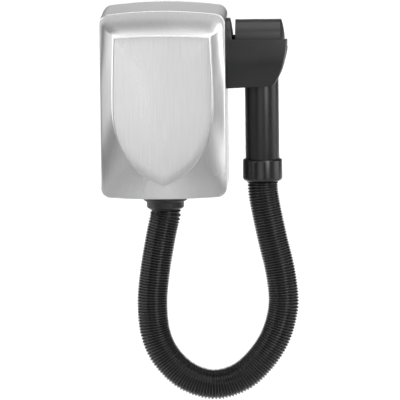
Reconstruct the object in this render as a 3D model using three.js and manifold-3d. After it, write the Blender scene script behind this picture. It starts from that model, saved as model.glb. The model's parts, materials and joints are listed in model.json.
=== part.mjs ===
// Wall-mounted hose hair dryer with a side cradle for its handpiece.
// Millimetres, +Z up, the front faces -Y and the wall is the plane y = 0.
// The origin is the centre of the back plate's rear face.

import * as THREE from 'three';
import { mergeVertices } from 'three/addons/utils/BufferGeometryUtils.js';
import Module from 'manifold-3d';

// ---------------------------------------------------------------- driving dimensions

const GAP = 0.3;                 // clearance between pieces that rest on each other

const CASE_HALF_WIDTH = 81.4;
const CASE_TOP = 121;            // front rim, at the middle of its arched top edge
const CASE_TOP_SAG = 4.2;        // how much lower the top edge is at its ends
const CASE_BOTTOM = -124;
const CASE_BOTTOM_SAG = 2.2;
const CASE_CORNER = 13;          // radius of the front corners
const CASE_DEPTH = 98;           // wall to the start of the rolled front edge
const CASE_ROLL = 3;             // radius of the rolled front edge
const CASE_REAR_RISE = 3.5;      // the rear edge stands this much higher at the top
const SHEET = 1.5;               // thickness of the cover's sheet

const SHIELD_HALF_WIDTH = 66;
const SHIELD_TOP = 88;           // height of the shield's two top corners
const SHIELD_TOP_ARCH = 2.6;
const SHIELD_CORNER_IN = 2.5;    // the sides lean in by this much at the top corners
const SHIELD_SHOULDER = -4;      // where the sides start to curve to the tip
const SHIELD_TIP = -107.5;
const SHIELD_RISE = 10;          // how far the shield stands proud of the front rim
const SHIELD_EDGE = 1.6;         // radius of the shield's rounded edge

const PLATE_THICKNESS = 2;
const PLATE_CLEAR = 1;           // between the back plate's edge and the cover

const AXIS_Y = -58;              // plane of the hose, the handset and the socket

const FAN_X = 24;
const FAN_Z = 38;
const FAN_RADIUS = 30;
const SCROLL_START = 36;
const SCROLL_END = 46;
const DUCT_HALF = 22;
const DUCT_BOTTOM = -95;
const VOLUTE_WALL = 2;

const SOCKET_FLANGE = 28.6;      // radii
const SOCKET_RING = 24.3;
const SOCKET_BORE = 16;
const SOCKET_END = -140.5;

const HOSE_RADIUS = 20;

const HANDLE_X = 126.8;
const TUBE_RADIUS = 21.9;
const TUBE_WALL = 2.4;
const TUBE_BOTTOM = -90;
const TUBE_TOP = 58;

const CUFF_RADIUS = 25.8;
const CUFF_TOP = -76;
const CUFF_BOTTOM = -105.5;

const HEAD_RADIUS = 29.5;
const HEAD_WALL = 2.5;
const HEAD_Z = 76;
const HEAD_LEFT = 93.6;
const HEAD_RIGHT = 152.6;
const DOME_RISE = 4.8;
const OUTLET_RECESS = 7;

const CRADLE_LEFT = CASE_HALF_WIDTH + GAP;
const CRADLE_RIM = 82;
const CRADLE_BOTTOM = 18;
const CRADLE_BOTTOM_RISE = 3.4;  // the lower edge climbs towards the free end
const CRADLE_HALF_DEPTH = 36;
const CRADLE_BREAK = 52;         // below this height the walls lean inwards
const CRADLE_LEAN = 8;
const CRADLE_SOFTEN = 8;         // half height of the soft bend between the two
const CRADLE_WALL = 2.6;
const CRADLE_END = 158.8;        // the free end, at the front wall's crease
const CRADLE_END_BOW = 4.2;      // the end wall bows out by this much in plan
const CRADLE_END_LENGTH = 38.5;  // half axes of the end's quarter ellipse
const CRADLE_END_HEIGHT = 70;
const CRADLE_FLOOR = 42.5;
const CRADLE_SLOT = 23.6;        // half width of the slot for the handle tube
const UPSTAND_RADIUS = 32;

const LIFT_SWITCH_X = 98;

// ---------------------------------------------------------------- materials

function paint(color, roughness, metalness) {
  return new THREE.MeshStandardMaterial({ color, roughness, metalness });
}

const finish = {
  steel: () => paint(0xc9cacb, 0.34, 1.0),
  zinc: () => paint(0x9fa3a6, 0.45, 0.9),
  black: () => paint(0x2b2c2e, 0.5, 0.0),
  softBlack: () => paint(0x1b1b1c, 0.62, 0.0),
  grey: () => paint(0x6f7275, 0.6, 0.0),
  ivory: () => paint(0xd8d2bd, 0.55, 0.0),
  board: () => paint(0x2f6b3c, 0.5, 0.0),
  wire: () => paint(0x8a6a4e, 0.4, 0.8),
};

// ---------------------------------------------------------------- booleans

const wasm = await Module();
wasm.setup();

// Turns a closed geometry into a manifold solid.
function solid(geometry) {
  const bare = geometry.clone();
  bare.deleteAttribute('normal');
  bare.deleteAttribute('uv');
  const joined = mergeVertices(bare, 1e-4);
  return new wasm.Manifold(new wasm.Mesh({
    numProp: 3,
    vertProperties: new Float32Array(joined.attributes.position.array),
    triVerts: new Uint32Array(joined.index.array),
  }));
}

// Turns a manifold solid back into a geometry.
function geometryOf(manifold) {
  const mesh = manifold.getMesh();
  const geometry = new THREE.BufferGeometry();
  geometry.setAttribute('position', new THREE.BufferAttribute(new Float32Array(mesh.vertProperties), 3));
  geometry.setIndex(new THREE.BufferAttribute(new Uint32Array(mesh.triVerts), 1));
  geometry.computeVertexNormals();
  return geometry;
}

// ---------------------------------------------------------------- basic solids

function box(x0, x1, y0, y1, z0, z1) {
  const geometry = new THREE.BoxGeometry(x1 - x0, y1 - y0, z1 - z0);
  geometry.translate((x0 + x1) / 2, (y0 + y1) / 2, (z0 + z1) / 2);
  return geometry;
}

// A cylinder along X, Y or Z between two stations.
function rod(axis, radius, from, to, center, sides = 32) {
  const geometry = new THREE.CylinderGeometry(radius, radius, to - from, sides);
  if (axis === 'x') geometry.rotateZ(-Math.PI / 2);
  if (axis === 'z') geometry.rotateX(Math.PI / 2);
  const middle = (from + to) / 2;
  if (axis === 'x') geometry.translate(middle, center[0], center[1]);
  if (axis === 'y') geometry.translate(center[0], middle, center[1]);
  if (axis === 'z') geometry.translate(center[0], center[1], middle);
  return geometry;
}

// A solid of revolution about a vertical line, from [radius, z] pairs.
function turned(profile, x, y, sides = 40) {
  const points = profile.map(([r, z]) => new THREE.Vector2(r, z));
  const geometry = new THREE.LatheGeometry(points, sides);
  geometry.rotateX(Math.PI / 2);
  geometry.translate(x, y, 0);
  return geometry;
}

// An outline in the X-Z plane, extruded along Y from y0 to y1.
function slabXZ(shape, y0, y1, curveSegments = 10) {
  const geometry = new THREE.ExtrudeGeometry(shape, { depth: y1 - y0, bevelEnabled: false, curveSegments });
  geometry.rotateX(Math.PI / 2);
  geometry.translate(0, y1, 0);
  return geometry;
}

// An outline in the Y-Z plane, extruded along X from x0 to x1.
function slabYZ(shape, x0, x1, curveSegments = 10) {
  const geometry = new THREE.ExtrudeGeometry(shape, { depth: x1 - x0, bevelEnabled: false, curveSegments });
  geometry.rotateX(Math.PI / 2);
  geometry.rotateZ(Math.PI / 2);
  geometry.translate(x0, 0, 0);
  return geometry;
}

function roundedRectangle(x0, x1, z0, z1, radius) {
  const shape = new THREE.Shape();
  shape.moveTo(x0 + radius, z0);
  shape.lineTo(x1 - radius, z0);
  shape.absarc(x1 - radius, z0 + radius, radius, -Math.PI / 2, 0, false);
  shape.lineTo(x1, z1 - radius);
  shape.absarc(x1 - radius, z1 - radius, radius, 0, Math.PI / 2, false);
  shape.lineTo(x0 + radius, z1);
  shape.absarc(x0 + radius, z1 - radius, radius, Math.PI / 2, Math.PI, false);
  shape.lineTo(x0, z0 + radius);
  shape.absarc(x0 + radius, z0 + radius, radius, Math.PI, Math.PI * 1.5, false);
  return shape;
}

const root = new THREE.Group();

function add(name, shape, material) {
  const geometry = shape instanceof THREE.BufferGeometry ? shape : geometryOf(shape);
  const mesh = new THREE.Mesh(geometry, material);
  mesh.name = name;
  root.add(mesh);
  return mesh;
}

// ---------------------------------------------------------------- cover

const TOP_STEPS = 16;
const SIDE_STEPS = 28;

// The right half of a path, mirrored to its left, as one closed loop of points.
// It runs from the top left corner over the top, down the right and up the left.
function loopOf(topPath, sidePath) {
  const top = topPath.getSpacedPoints(TOP_STEPS / 2);
  const side = sidePath.getSpacedPoints(SIDE_STEPS);
  const right = top.concat(side.slice(1));
  const left = right.slice(1, -1).reverse().map((p) => new THREE.Vector2(-p.x, p.y));
  return right.concat(left);
}

// The case outline at one depth, drawn in from the outside by an inset.
function caseLoop(inset, rise) {
  const w = CASE_HALF_WIDTH - inset;
  const top = CASE_TOP - inset + rise;
  const shoulder = top - CASE_TOP_SAG;
  const bottom = CASE_BOTTOM + inset;
  const heel = bottom + CASE_BOTTOM_SAG;
  const r = CASE_CORNER - inset;
  const crown = new THREE.Path();
  crown.moveTo(0, top);
  crown.quadraticCurveTo((w - r) / 2, top, w - r, shoulder);
  crown.absarc(w - r, shoulder - r, r, Math.PI / 2, 0, true);
  const flank = new THREE.Path();
  flank.moveTo(w, shoulder - r);
  flank.lineTo(w, heel + r);
  flank.absarc(w - r, heel + r, r, 0, -Math.PI / 2, true);
  flank.quadraticCurveTo((w - r) / 2, bottom, 0, bottom);
  return loopOf(crown, flank);
}

// The shield outline, drawn in by an inset.
function shieldLoop(inset) {
  const w = SHIELD_HALF_WIDTH - inset;
  const top = SHIELD_TOP - inset;
  const crown = new THREE.Path();
  crown.moveTo(0, top + SHIELD_TOP_ARCH);
  crown.quadraticCurveTo((w - SHIELD_CORNER_IN) / 2, top + SHIELD_TOP_ARCH, w - SHIELD_CORNER_IN, top);
  const flank = new THREE.Path();
  flank.moveTo(w - SHIELD_CORNER_IN, top);
  flank.quadraticCurveTo(w, (top + SHIELD_SHOULDER) / 2, w, SHIELD_SHOULDER);
  flank.bezierCurveTo(w, SHIELD_SHOULDER - 56, w * 0.515, SHIELD_TIP + 12, 0, SHIELD_TIP + inset * 1.2);
  return loopOf(crown, flank);
}

// The point-by-point mix of two loops.
function mixLoops(a, b, t) {
  return a.map((p, i) => new THREE.Vector2(p.x + (b[i].x - p.x) * t, p.y + (b[i].y - p.y) * t));
}

function ringAt(loop, y) {
  return loop.map((p) => new THREE.Vector3(p.x, y, p.y));
}

// The rings of one skin of the cover, from its rear edge to the middle of the shield.
function coverRings(inset) {
  const rings = [];
  const rim = -CASE_DEPTH;
  rings.push(ringAt(caseLoop(inset, CASE_REAR_RISE), -GAP));
  rings.push(ringAt(caseLoop(inset, 0), rim));
  for (const turn of [0.33, 0.67, 1]) {
    const angle = turn * Math.PI / 2;
    const drawIn = inset + (CASE_ROLL - inset) * (1 - Math.cos(angle));
    rings.push(ringAt(caseLoop(drawIn, 0), rim - (CASE_ROLL - inset) * Math.sin(angle)));
  }
  const outer = caseLoop(Math.max(CASE_ROLL, inset), 0);
  const foot = shieldLoop(inset);
  const front = rim - CASE_ROLL + inset;
  for (const t of [0.2, 0.45, 0.7, 0.9]) {
    rings.push(ringAt(mixLoops(outer, foot, t), front - (SHIELD_RISE - SHIELD_EDGE) * Math.pow(t, 1.5)));
  }
  for (const turn of [0, 0.5, 1]) {
    const angle = turn * Math.PI / 2;
    const drawIn = inset + SHIELD_EDGE * (1 - Math.cos(angle));
    rings.push(ringAt(shieldLoop(drawIn), front - SHIELD_RISE + SHIELD_EDGE * (1 - Math.sin(angle))));
  }
  const face = shieldLoop(inset + SHIELD_EDGE);
  const middle = face.map(() => new THREE.Vector2(0, 10));
  rings.push(ringAt(mixLoops(face, middle, 0.5), front - SHIELD_RISE - 0.8));
  return rings;
}

// Joins the outer skin, the rear edge and the inner skin into one closed sheet.
function coverSheet() {
  const outside = coverRings(0);
  const inside = coverRings(SHEET);
  const rings = outside.slice().reverse().concat(inside);
  const count = rings[0].length;
  const positions = [];
  const index = [];
  for (const ring of rings) {
    for (const p of ring) positions.push(p.x, p.y, p.z);
  }
  for (let r = 0; r + 1 < rings.length; r++) {
    for (let i = 0; i < count; i++) {
      const j = (i + 1) % count;
      const a = r * count + i;
      const b = r * count + j;
      const c = (r + 1) * count + i;
      const d = (r + 1) * count + j;
      index.push(a, b, c, b, d, c);
    }
  }
  const front = -CASE_DEPTH - CASE_ROLL - SHIELD_RISE - 1;
  const ends = [[0, front], [rings.length - 1, front + SHEET]];
  for (const [r, y] of ends) {
    const hub = positions.length / 3;
    positions.push(0, y, 10);
    for (let i = 0; i < count; i++) {
      const a = r * count + i;
      const b = r * count + (i + 1) % count;
      if (r === 0) index.push(hub, b, a);
      else index.push(hub, a, b);
    }
  }
  const geometry = new THREE.BufferGeometry();
  geometry.setAttribute('position', new THREE.Float32BufferAttribute(positions, 3));
  geometry.setIndex(index);
  geometry.computeVertexNormals();
  return geometry;
}

const VENT_COUNT = 6;
const VENT_PITCH = 6;
const VENT_WIDTH = 3.2;
const VENT_FIRST = 35;
const VENT_Y = [-86, -34];
const COVER_SCREW_X = 55;
const COVER_SCREW_Y = -12;
const CRADLE_SCREW_Z = [28, 70];

function cover() {
  let body = solid(coverSheet());
  body = body.subtract(solid(rod('z', SOCKET_RING + GAP, CASE_BOTTOM - 10, CASE_BOTTOM + 10, [0, AXIS_Y], 40)));
  for (const side of [-1, 1]) {
    for (let i = 0; i < VENT_COUNT; i++) {
      const x = side * (VENT_FIRST + i * VENT_PITCH);
      const half = VENT_WIDTH / 2;
      const slot = box(x - half, x + half, VENT_Y[0], VENT_Y[1], CASE_BOTTOM - 5, CASE_BOTTOM + 8);
      body = body.subtract(solid(slot));
    }
    const hole = rod('z', 2.3, CASE_BOTTOM - 5, CASE_BOTTOM + 8, [side * COVER_SCREW_X, COVER_SCREW_Y], 16);
    body = body.subtract(solid(hole));
  }
  for (const z of CRADLE_SCREW_Z) {
    body = body.subtract(solid(rod('x', 2.6, CASE_HALF_WIDTH - 6, CASE_HALF_WIDTH + 6, [AXIS_Y, z], 16)));
  }
  add('cover', body, finish.steel());
}

// ---------------------------------------------------------------- back plate

const GROMMET = { x: -52, z: -70, hole: 9 };
const WALL_HOLES = [[-55, 95], [55, 95], [-55, -98], [55, -98]];
const TAB_Z = CASE_BOTTOM + CASE_BOTTOM_SAG + SHEET + 1.2;

function backPlate() {
  const w = CASE_HALF_WIDTH - SHEET - PLATE_CLEAR;
  const top = CASE_TOP + CASE_REAR_RISE - CASE_TOP_SAG - SHEET - PLATE_CLEAR;
  const bottom = CASE_BOTTOM + CASE_BOTTOM_SAG + SHEET + PLATE_CLEAR;
  const outline = roundedRectangle(-w, w, bottom, top, CASE_CORNER - SHEET - PLATE_CLEAR + 2);
  for (const [x, z] of WALL_HOLES) {
    const hole = new THREE.Path();
    hole.absarc(x, z, 3.2, 0, Math.PI * 2, false);
    outline.holes.push(hole);
  }
  const cable = new THREE.Path();
  cable.absarc(GROMMET.x, GROMMET.z, GROMMET.hole, 0, Math.PI * 2, false);
  outline.holes.push(cable);
  let body = solid(slabXZ(outline, -PLATE_THICKNESS, 0, 6));
  for (const side of [-1, 1]) {
    const x = side * COVER_SCREW_X;
    body = body.add(solid(box(x - 9, x + 9, -20, -PLATE_THICKNESS + 0.5, TAB_Z, TAB_Z + 3)));
    body = body.subtract(solid(rod('z', 2.3, TAB_Z - 2, TAB_Z + 8, [x, COVER_SCREW_Y], 16)));
  }
  add('back_plate', body, finish.zinc());
}

function coverScrews() {
  for (const [side, label] of [[-1, 'left'], [1, 'right']]) {
    const face = CASE_BOTTOM + CASE_BOTTOM_SAG * Math.pow(COVER_SCREW_X / 68, 2) - GAP - 0.6;
    const profile = [[0, face - 2], [2.8, face - 2], [3.8, face - 0.6], [3.8, face], [2, face],
      [2, TAB_Z + 5], [0, TAB_Z + 5]];
    add('cover_screw_' + label, turned(profile, side * COVER_SCREW_X, COVER_SCREW_Y, 16), finish.zinc());
  }
}

// ---------------------------------------------------------------- blower

// The scroll and its downward duct, drawn in by an inset.
function scrollShape(inset, bottom) {
  const shape = new THREE.Shape();
  const start = -80 * Math.PI / 180;
  const steps = 26;
  shape.moveTo(-DUCT_HALF + inset, bottom);
  shape.lineTo(DUCT_HALF - inset, bottom);
  shape.lineTo(DUCT_HALF - inset, -6);
  for (let i = 0; i <= steps; i++) {
    const angle = start + (Math.PI - start) * i / steps;
    const r = SCROLL_START + (SCROLL_END - SCROLL_START) * i / steps - inset;
    shape.lineTo(FAN_X + r * Math.cos(angle), FAN_Z + r * Math.sin(angle));
  }
  return shape;
}

function volute() {
  const half = DUCT_HALF;
  const split = GAP / 2;
  const shells = [
    ['volute_rear', AXIS_Y + split, AXIS_Y + half, AXIS_Y - 1, AXIS_Y + half - VOLUTE_WALL, 7],
    ['volute_front', AXIS_Y - half, AXIS_Y - split, AXIS_Y - half + VOLUTE_WALL, AXIS_Y + 1, 20],
  ];
  for (const [name, y0, y1, inner0, inner1, eye] of shells) {
    let body = solid(slabXZ(scrollShape(0, DUCT_BOTTOM), y0, y1));
    body = body.subtract(solid(slabXZ(scrollShape(VOLUTE_WALL, DUCT_BOTTOM - 5), inner0, inner1)));
    body = body.subtract(solid(rod('y', eye, y0 - 5, y1 + 5, [FAN_X, FAN_Z], 32)));
    add(name, body, finish.ivory());
  }
}

const BLADES = 16;
const FAN_REAR = AXIS_Y + DUCT_HALF - VOLUTE_WALL - 3;
const FAN_FRONT = AXIS_Y - DUCT_HALF + VOLUTE_WALL + 3;

function impeller() {
  let body = solid(rod('y', FAN_RADIUS, FAN_REAR - 2, FAN_REAR, [0, 0], 48));
  body = body.add(solid(rod('y', 7, FAN_FRONT + 6, FAN_REAR, [0, 0], 24)));
  for (let i = 0; i < BLADES; i++) {
    const blade = box(19, FAN_RADIUS, FAN_FRONT, FAN_REAR - 1, -0.6, 0.6);
    blade.translate(-24.5, 0, 0);
    blade.rotateY(0.6);
    blade.translate(24, 0, 0);
    blade.rotateY(i * 2 * Math.PI / BLADES);
    body = body.add(solid(blade));
  }
  let hoop = solid(rod('y', FAN_RADIUS, FAN_FRONT - 1, FAN_FRONT + 1, [0, 0], 48));
  hoop = hoop.subtract(solid(rod('y', 18.5, FAN_FRONT - 3, FAN_FRONT + 3, [0, 0], 32)));
  body = body.add(hoop);
  body = body.subtract(solid(rod('y', 2.5 + GAP, FAN_FRONT - 5, FAN_REAR + 5, [0, 0], 16)));
  const geometry = geometryOf(body);
  geometry.translate(FAN_X, 0, FAN_Z);
  add('impeller', geometry, finish.grey());
}

const MOTOR_RADIUS = 19;
const MOTOR_REAR = -7;
const MOTOR_FRONT = -33;

function motor() {
  let body = solid(rod('y', MOTOR_RADIUS, MOTOR_FRONT, MOTOR_REAR, [FAN_X, FAN_Z], 36));
  body = body.add(solid(rod('y', 8, MOTOR_REAR - 1, MOTOR_REAR + 2.5, [FAN_X, FAN_Z], 24)));
  body = body.subtract(solid(rod('y', 2.5 + GAP, MOTOR_FRONT - 5, MOTOR_REAR - 3, [FAN_X, FAN_Z], 16)));
  add('motor_body', body, finish.zinc());
  add('motor_shaft', rod('y', 2.5, FAN_FRONT + 4, MOTOR_REAR - 4, [FAN_X, FAN_Z], 16), finish.zinc());
}

// A rubber band between the motor and its sheet bracket.
function motorMount() {
  const rubber = new THREE.Shape();
  rubber.absarc(FAN_X, FAN_Z, MOTOR_RADIUS + 3, 0, Math.PI * 2, false);
  const bore = new THREE.Path();
  bore.absarc(FAN_X, FAN_Z, MOTOR_RADIUS + GAP, 0, Math.PI * 2, true);
  rubber.holes.push(bore);
  add('motor_rubber_ring', slabXZ(rubber, -27, -13, 18), finish.softBlack());
  const half = MOTOR_RADIUS + 8;
  const clamp = roundedRectangle(FAN_X - half, FAN_X + half, FAN_Z - half, FAN_Z + half, 1);
  const seat = new THREE.Path();
  seat.absarc(FAN_X, FAN_Z, MOTOR_RADIUS + 3 + GAP, 0, Math.PI * 2, true);
  clamp.holes.push(seat);
  let bracket = solid(slabXZ(clamp, -24, -21, 18));
  for (const sx of [-1, 1]) {
    for (const sz of [-1, 1]) {
      const x = FAN_X + sx * (half - 5);
      const z = FAN_Z + sz * (half - 5);
      bracket = bracket.add(solid(rod('y', 4, -21.5, -PLATE_THICKNESS - GAP, [x, z], 12)));
    }
  }
  add('motor_bracket', bracket, finish.zinc());
}

// ---------------------------------------------------------------- heater and duct

const HEATER_TOP = -16;
const HEATER_BOTTOM = -84;
const HEATER_HALF = 14;
const COIL_TURNS = 7;
const COIL_RADIUS = 15.8;
const COIL_WIRE = 0.9;

class Helix extends THREE.Curve {
  constructor(radius, turns, z0, z1) {
    super();
    Object.assign(this, { radius, turns, z0, z1 });
  }

  getPoint(t, target = new THREE.Vector3()) {
    const angle = t * this.turns * 2 * Math.PI;
    const x = this.radius * Math.cos(angle);
    const y = AXIS_Y + this.radius * Math.sin(angle);
    return target.set(x, y, this.z0 + (this.z1 - this.z0) * t);
  }
}

function roundSection(radius, sides) {
  const shape = new THREE.Shape();
  for (let i = 0; i < sides; i++) {
    const angle = i * 2 * Math.PI / sides;
    const x = radius * Math.cos(angle);
    const y = radius * Math.sin(angle);
    if (i === 0) shape.moveTo(x, y);
    else shape.lineTo(x, y);
  }
  return shape;
}

function heater() {
  const cards = solid(box(-HEATER_HALF, HEATER_HALF, AXIS_Y - 0.6, AXIS_Y + 0.6, HEATER_BOTTOM, HEATER_TOP))
    .add(solid(box(-0.6, 0.6, AXIS_Y - HEATER_HALF, AXIS_Y + HEATER_HALF, HEATER_BOTTOM, HEATER_TOP)));
  add('heater_frame', cards, finish.ivory());
  const path = new Helix(COIL_RADIUS, COIL_TURNS, HEATER_BOTTOM + 6, HEATER_TOP - 6);
  const coil = new THREE.ExtrudeGeometry(roundSection(COIL_WIRE, 5), { steps: COIL_TURNS * 14, extrudePath: path });
  add('heater_coil', coil, finish.wire());
  const x = -DUCT_HALF - GAP;
  add('thermal_cutout', box(x - 6, x, AXIS_Y - 7, AXIS_Y + 7, -34, -22), finish.softBlack());
}

function ductAdapter() {
  const top = DUCT_BOTTOM - GAP;
  let body = solid(box(-DUCT_HALF, DUCT_HALF, AXIS_Y - DUCT_HALF, AXIS_Y + DUCT_HALF, top - 14, top));
  body = body.subtract(solid(rod('z', SOCKET_BORE, top - 20, top + 5, [0, AXIS_Y], 32)));
  add('duct_adapter', body, finish.ivory());
}

function hoseSocket() {
  const seat = CASE_BOTTOM - GAP;
  const profile = [
    [SOCKET_BORE, DUCT_BOTTOM - 14 - 2 * GAP - 0.4],
    [SOCKET_BORE, SOCKET_END],
    [SOCKET_RING - 2.6, SOCKET_END],
    [SOCKET_RING, SOCKET_END + 2.2],
    [SOCKET_RING, seat - 6.8],
    [SOCKET_FLANGE - 1.6, seat - 5.8],
    [SOCKET_FLANGE, seat - 4.2],
    [SOCKET_FLANGE, seat],
    [SOCKET_RING, seat],
    [SOCKET_RING, DUCT_BOTTOM - 14 - 2 * GAP - 0.4],
    [SOCKET_BORE, DUCT_BOTTOM - 14 - 2 * GAP - 0.4],
  ];
  add('hose_socket', turned(profile, 0, AXIS_Y, 40), finish.black());
  const nutTop = CASE_BOTTOM + SHEET + GAP + 8;
  const nut = [
    [SOCKET_RING + GAP, nutTop], [SOCKET_RING + GAP, nutTop - 7],
    [SOCKET_RING + 6, nutTop - 7], [SOCKET_RING + 6, nutTop], [SOCKET_RING + GAP, nutTop],
  ];
  add('socket_nut', turned(nut, 0, AXIS_Y, 36), finish.softBlack());
}

// ---------------------------------------------------------------- electrics

function electrics() {
  const board = { x0: -74, x1: -32, z0: -40, z1: 44, y0: -13.6, y1: -12 };
  add('control_board', box(board.x0, board.x1, board.y0, board.y1, board.z0, board.z1), finish.board());
  for (const [label, x0] of [['left', board.x0], ['right', board.x1 - 5]]) {
    const rail = box(x0, x0 + 5, board.y1 + GAP, -PLATE_THICKNESS - GAP, board.z0 + 4, board.z1 - 4);
    add('board_rail_' + label, rail, finish.ivory());
  }
  const front = board.y0 - GAP;
  add('board_relay', box(-70, -54, front - 16, front, 18, 38), finish.softBlack());
  add('board_capacitor', rod('y', 7, front - 22, front, [-44, 26], 20), finish.grey());
  let sink = solid(box(-70, -40, front - 3, front, -34, -8));
  for (let i = 0; i < 5; i++) {
    const x = -70 + i * 7;
    sink = sink.add(solid(box(x, x + 2, front - 14, front - 2, -34, -8)));
  }
  add('board_heat_sink', sink, finish.zinc());
}

const TERMINAL = { x0: -30, x1: 24, y0: -18, z0: -92, z1: -76 };

function mainsInlet() {
  let block = solid(box(TERMINAL.x0, TERMINAL.x1, TERMINAL.y0, -PLATE_THICKNESS - GAP, TERMINAL.z0, TERMINAL.z1));
  for (let i = 0; i < 4; i++) {
    const x = TERMINAL.x0 + 6 + i * 14;
    const hole = rod('y', 3.4, TERMINAL.y0 - 5, TERMINAL.y0 + 8, [x, (TERMINAL.z0 + TERMINAL.z1) / 2], 12);
    block = block.subtract(solid(hole));
  }
  add('terminal_block', block, finish.ivory());
  const sleeve = new THREE.Shape();
  sleeve.absarc(GROMMET.x, GROMMET.z, GROMMET.hole - GAP, 0, Math.PI * 2, false);
  const collar = new THREE.Shape();
  collar.absarc(GROMMET.x, GROMMET.z, GROMMET.hole + 4, 0, Math.PI * 2, false);
  let ring = solid(slabXZ(sleeve, -PLATE_THICKNESS - 1, -GAP, 16));
  ring = ring.add(solid(slabXZ(collar, -PLATE_THICKNESS - 4, -PLATE_THICKNESS - GAP, 16)));
  ring = ring.subtract(solid(rod('y', 5, -20, 5, [GROMMET.x, GROMMET.z], 24)));
  add('cable_grommet', ring, finish.softBlack());
}

function inletFilters() {
  for (const [side, label] of [[-1, 'left'], [1, 'right']]) {
    const from = VENT_FIRST - 4;
    const to = VENT_FIRST + (VENT_COUNT - 1) * VENT_PITCH + 4;
    const z = CASE_BOTTOM + CASE_BOTTOM_SAG + SHEET + 2.4;
    const x0 = side < 0 ? -to : from;
    let body = solid(box(x0, x0 + to - from, VENT_Y[0] - 3, VENT_Y[1] + 3, z, z + 2));
    for (let i = 0; i < 6; i++) {
      for (let j = 0; j < 6; j++) {
        const x = x0 + 2.5 + i * 5.6;
        const y = VENT_Y[0] + j * 8.8;
        body = body.subtract(solid(box(x, x + 4.2, y, y + 7.2, z - 3, z + 5)));
      }
    }
    add('inlet_filter_' + label, body, finish.softBlack());
  }
}

// ---------------------------------------------------------------- cradle

// Half the cradle's depth at a height: straight walls that lean in lower down.
function cradleHalfDepth(z) {
  const slope = CRADLE_LEAN / (CRADLE_BREAK - CRADLE_BOTTOM);
  const blend = Math.min(1, Math.max(0, (z - CRADLE_BREAK + CRADLE_SOFTEN) / (2 * CRADLE_SOFTEN)));
  if (z < CRADLE_BREAK - CRADLE_SOFTEN) return CRADLE_HALF_DEPTH - slope * (CRADLE_BREAK - z);
  return CRADLE_HALF_DEPTH - slope * CRADLE_SOFTEN * (1 - blend) * (1 - blend);
}

// The cradle's section across its length, drawn in by an inset.
function cradleSection(drawIn, low, high) {
  const heights = [low];
  for (let i = 0; i <= 6; i++) heights.push(CRADLE_BREAK - CRADLE_SOFTEN + CRADLE_SOFTEN * i / 3);
  heights.push(high);
  const right = heights.filter((z) => z >= low && z <= high)
    .map((z) => new THREE.Vector2(AXIS_Y + cradleHalfDepth(z) - drawIn, z));
  const left = right.slice().reverse().map((p) => new THREE.Vector2(2 * AXIS_Y - p.x, p.y));
  return new THREE.Shape(right.concat(left));
}

// A solid block with the cradle's outer surface, drawn in by an inset. Seen from
// the front its free end is a quarter of an ellipse, and in plan it bows outwards.
function cradleBlock(drawIn, low, high) {
  const layers = 12;
  const steps = 12;
  const half = CRADLE_HALF_DEPTH + 1;
  const start = Math.min(high, CRADLE_RIM);
  const heights = high > CRADLE_RIM ? [high] : [];
  for (let i = 0; i <= layers; i++) heights.push(start - (start - low) * i / layers);
  const positions = [];
  for (const z of heights) {
    const s = Math.min(1, Math.max(0, (CRADLE_RIM - z) / CRADLE_END_HEIGHT));
    const end = CRADLE_END - drawIn - CRADLE_END_LENGTH * (1 - Math.sqrt(1 - s * s));
    positions.push(CRADLE_LEFT, AXIS_Y - half, z);
    for (let i = 0; i <= steps; i++) {
      const v = -1 + 2 * i / steps;
      positions.push(end + CRADLE_END_BOW * (1 - v * v), AXIS_Y + half * v, z);
    }
    positions.push(CRADLE_LEFT, AXIS_Y + half, z);
  }
  const row = steps + 3;
  const index = [];
  for (let r = 0; r + 1 < heights.length; r++) {
    for (let i = 0; i < row; i++) {
      const j = (i + 1) % row;
      const upper = r * row;
      const lower = upper + row;
      index.push(upper + i, lower + i, upper + j);
      index.push(upper + j, lower + i, lower + j);
    }
  }
  const base = (heights.length - 1) * row;
  for (let i = 1; i + 1 < row; i++) {
    index.push(0, i, i + 1);
    index.push(base, base + i + 1, base + i);
  }
  const geometry = new THREE.BufferGeometry();
  geometry.setAttribute('position', new THREE.Float32BufferAttribute(positions, 3));
  geometry.setIndex(index);
  return solid(geometry).intersect(solid(slabYZ(cradleSection(drawIn, low, high), 40, 220)));
}

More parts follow.
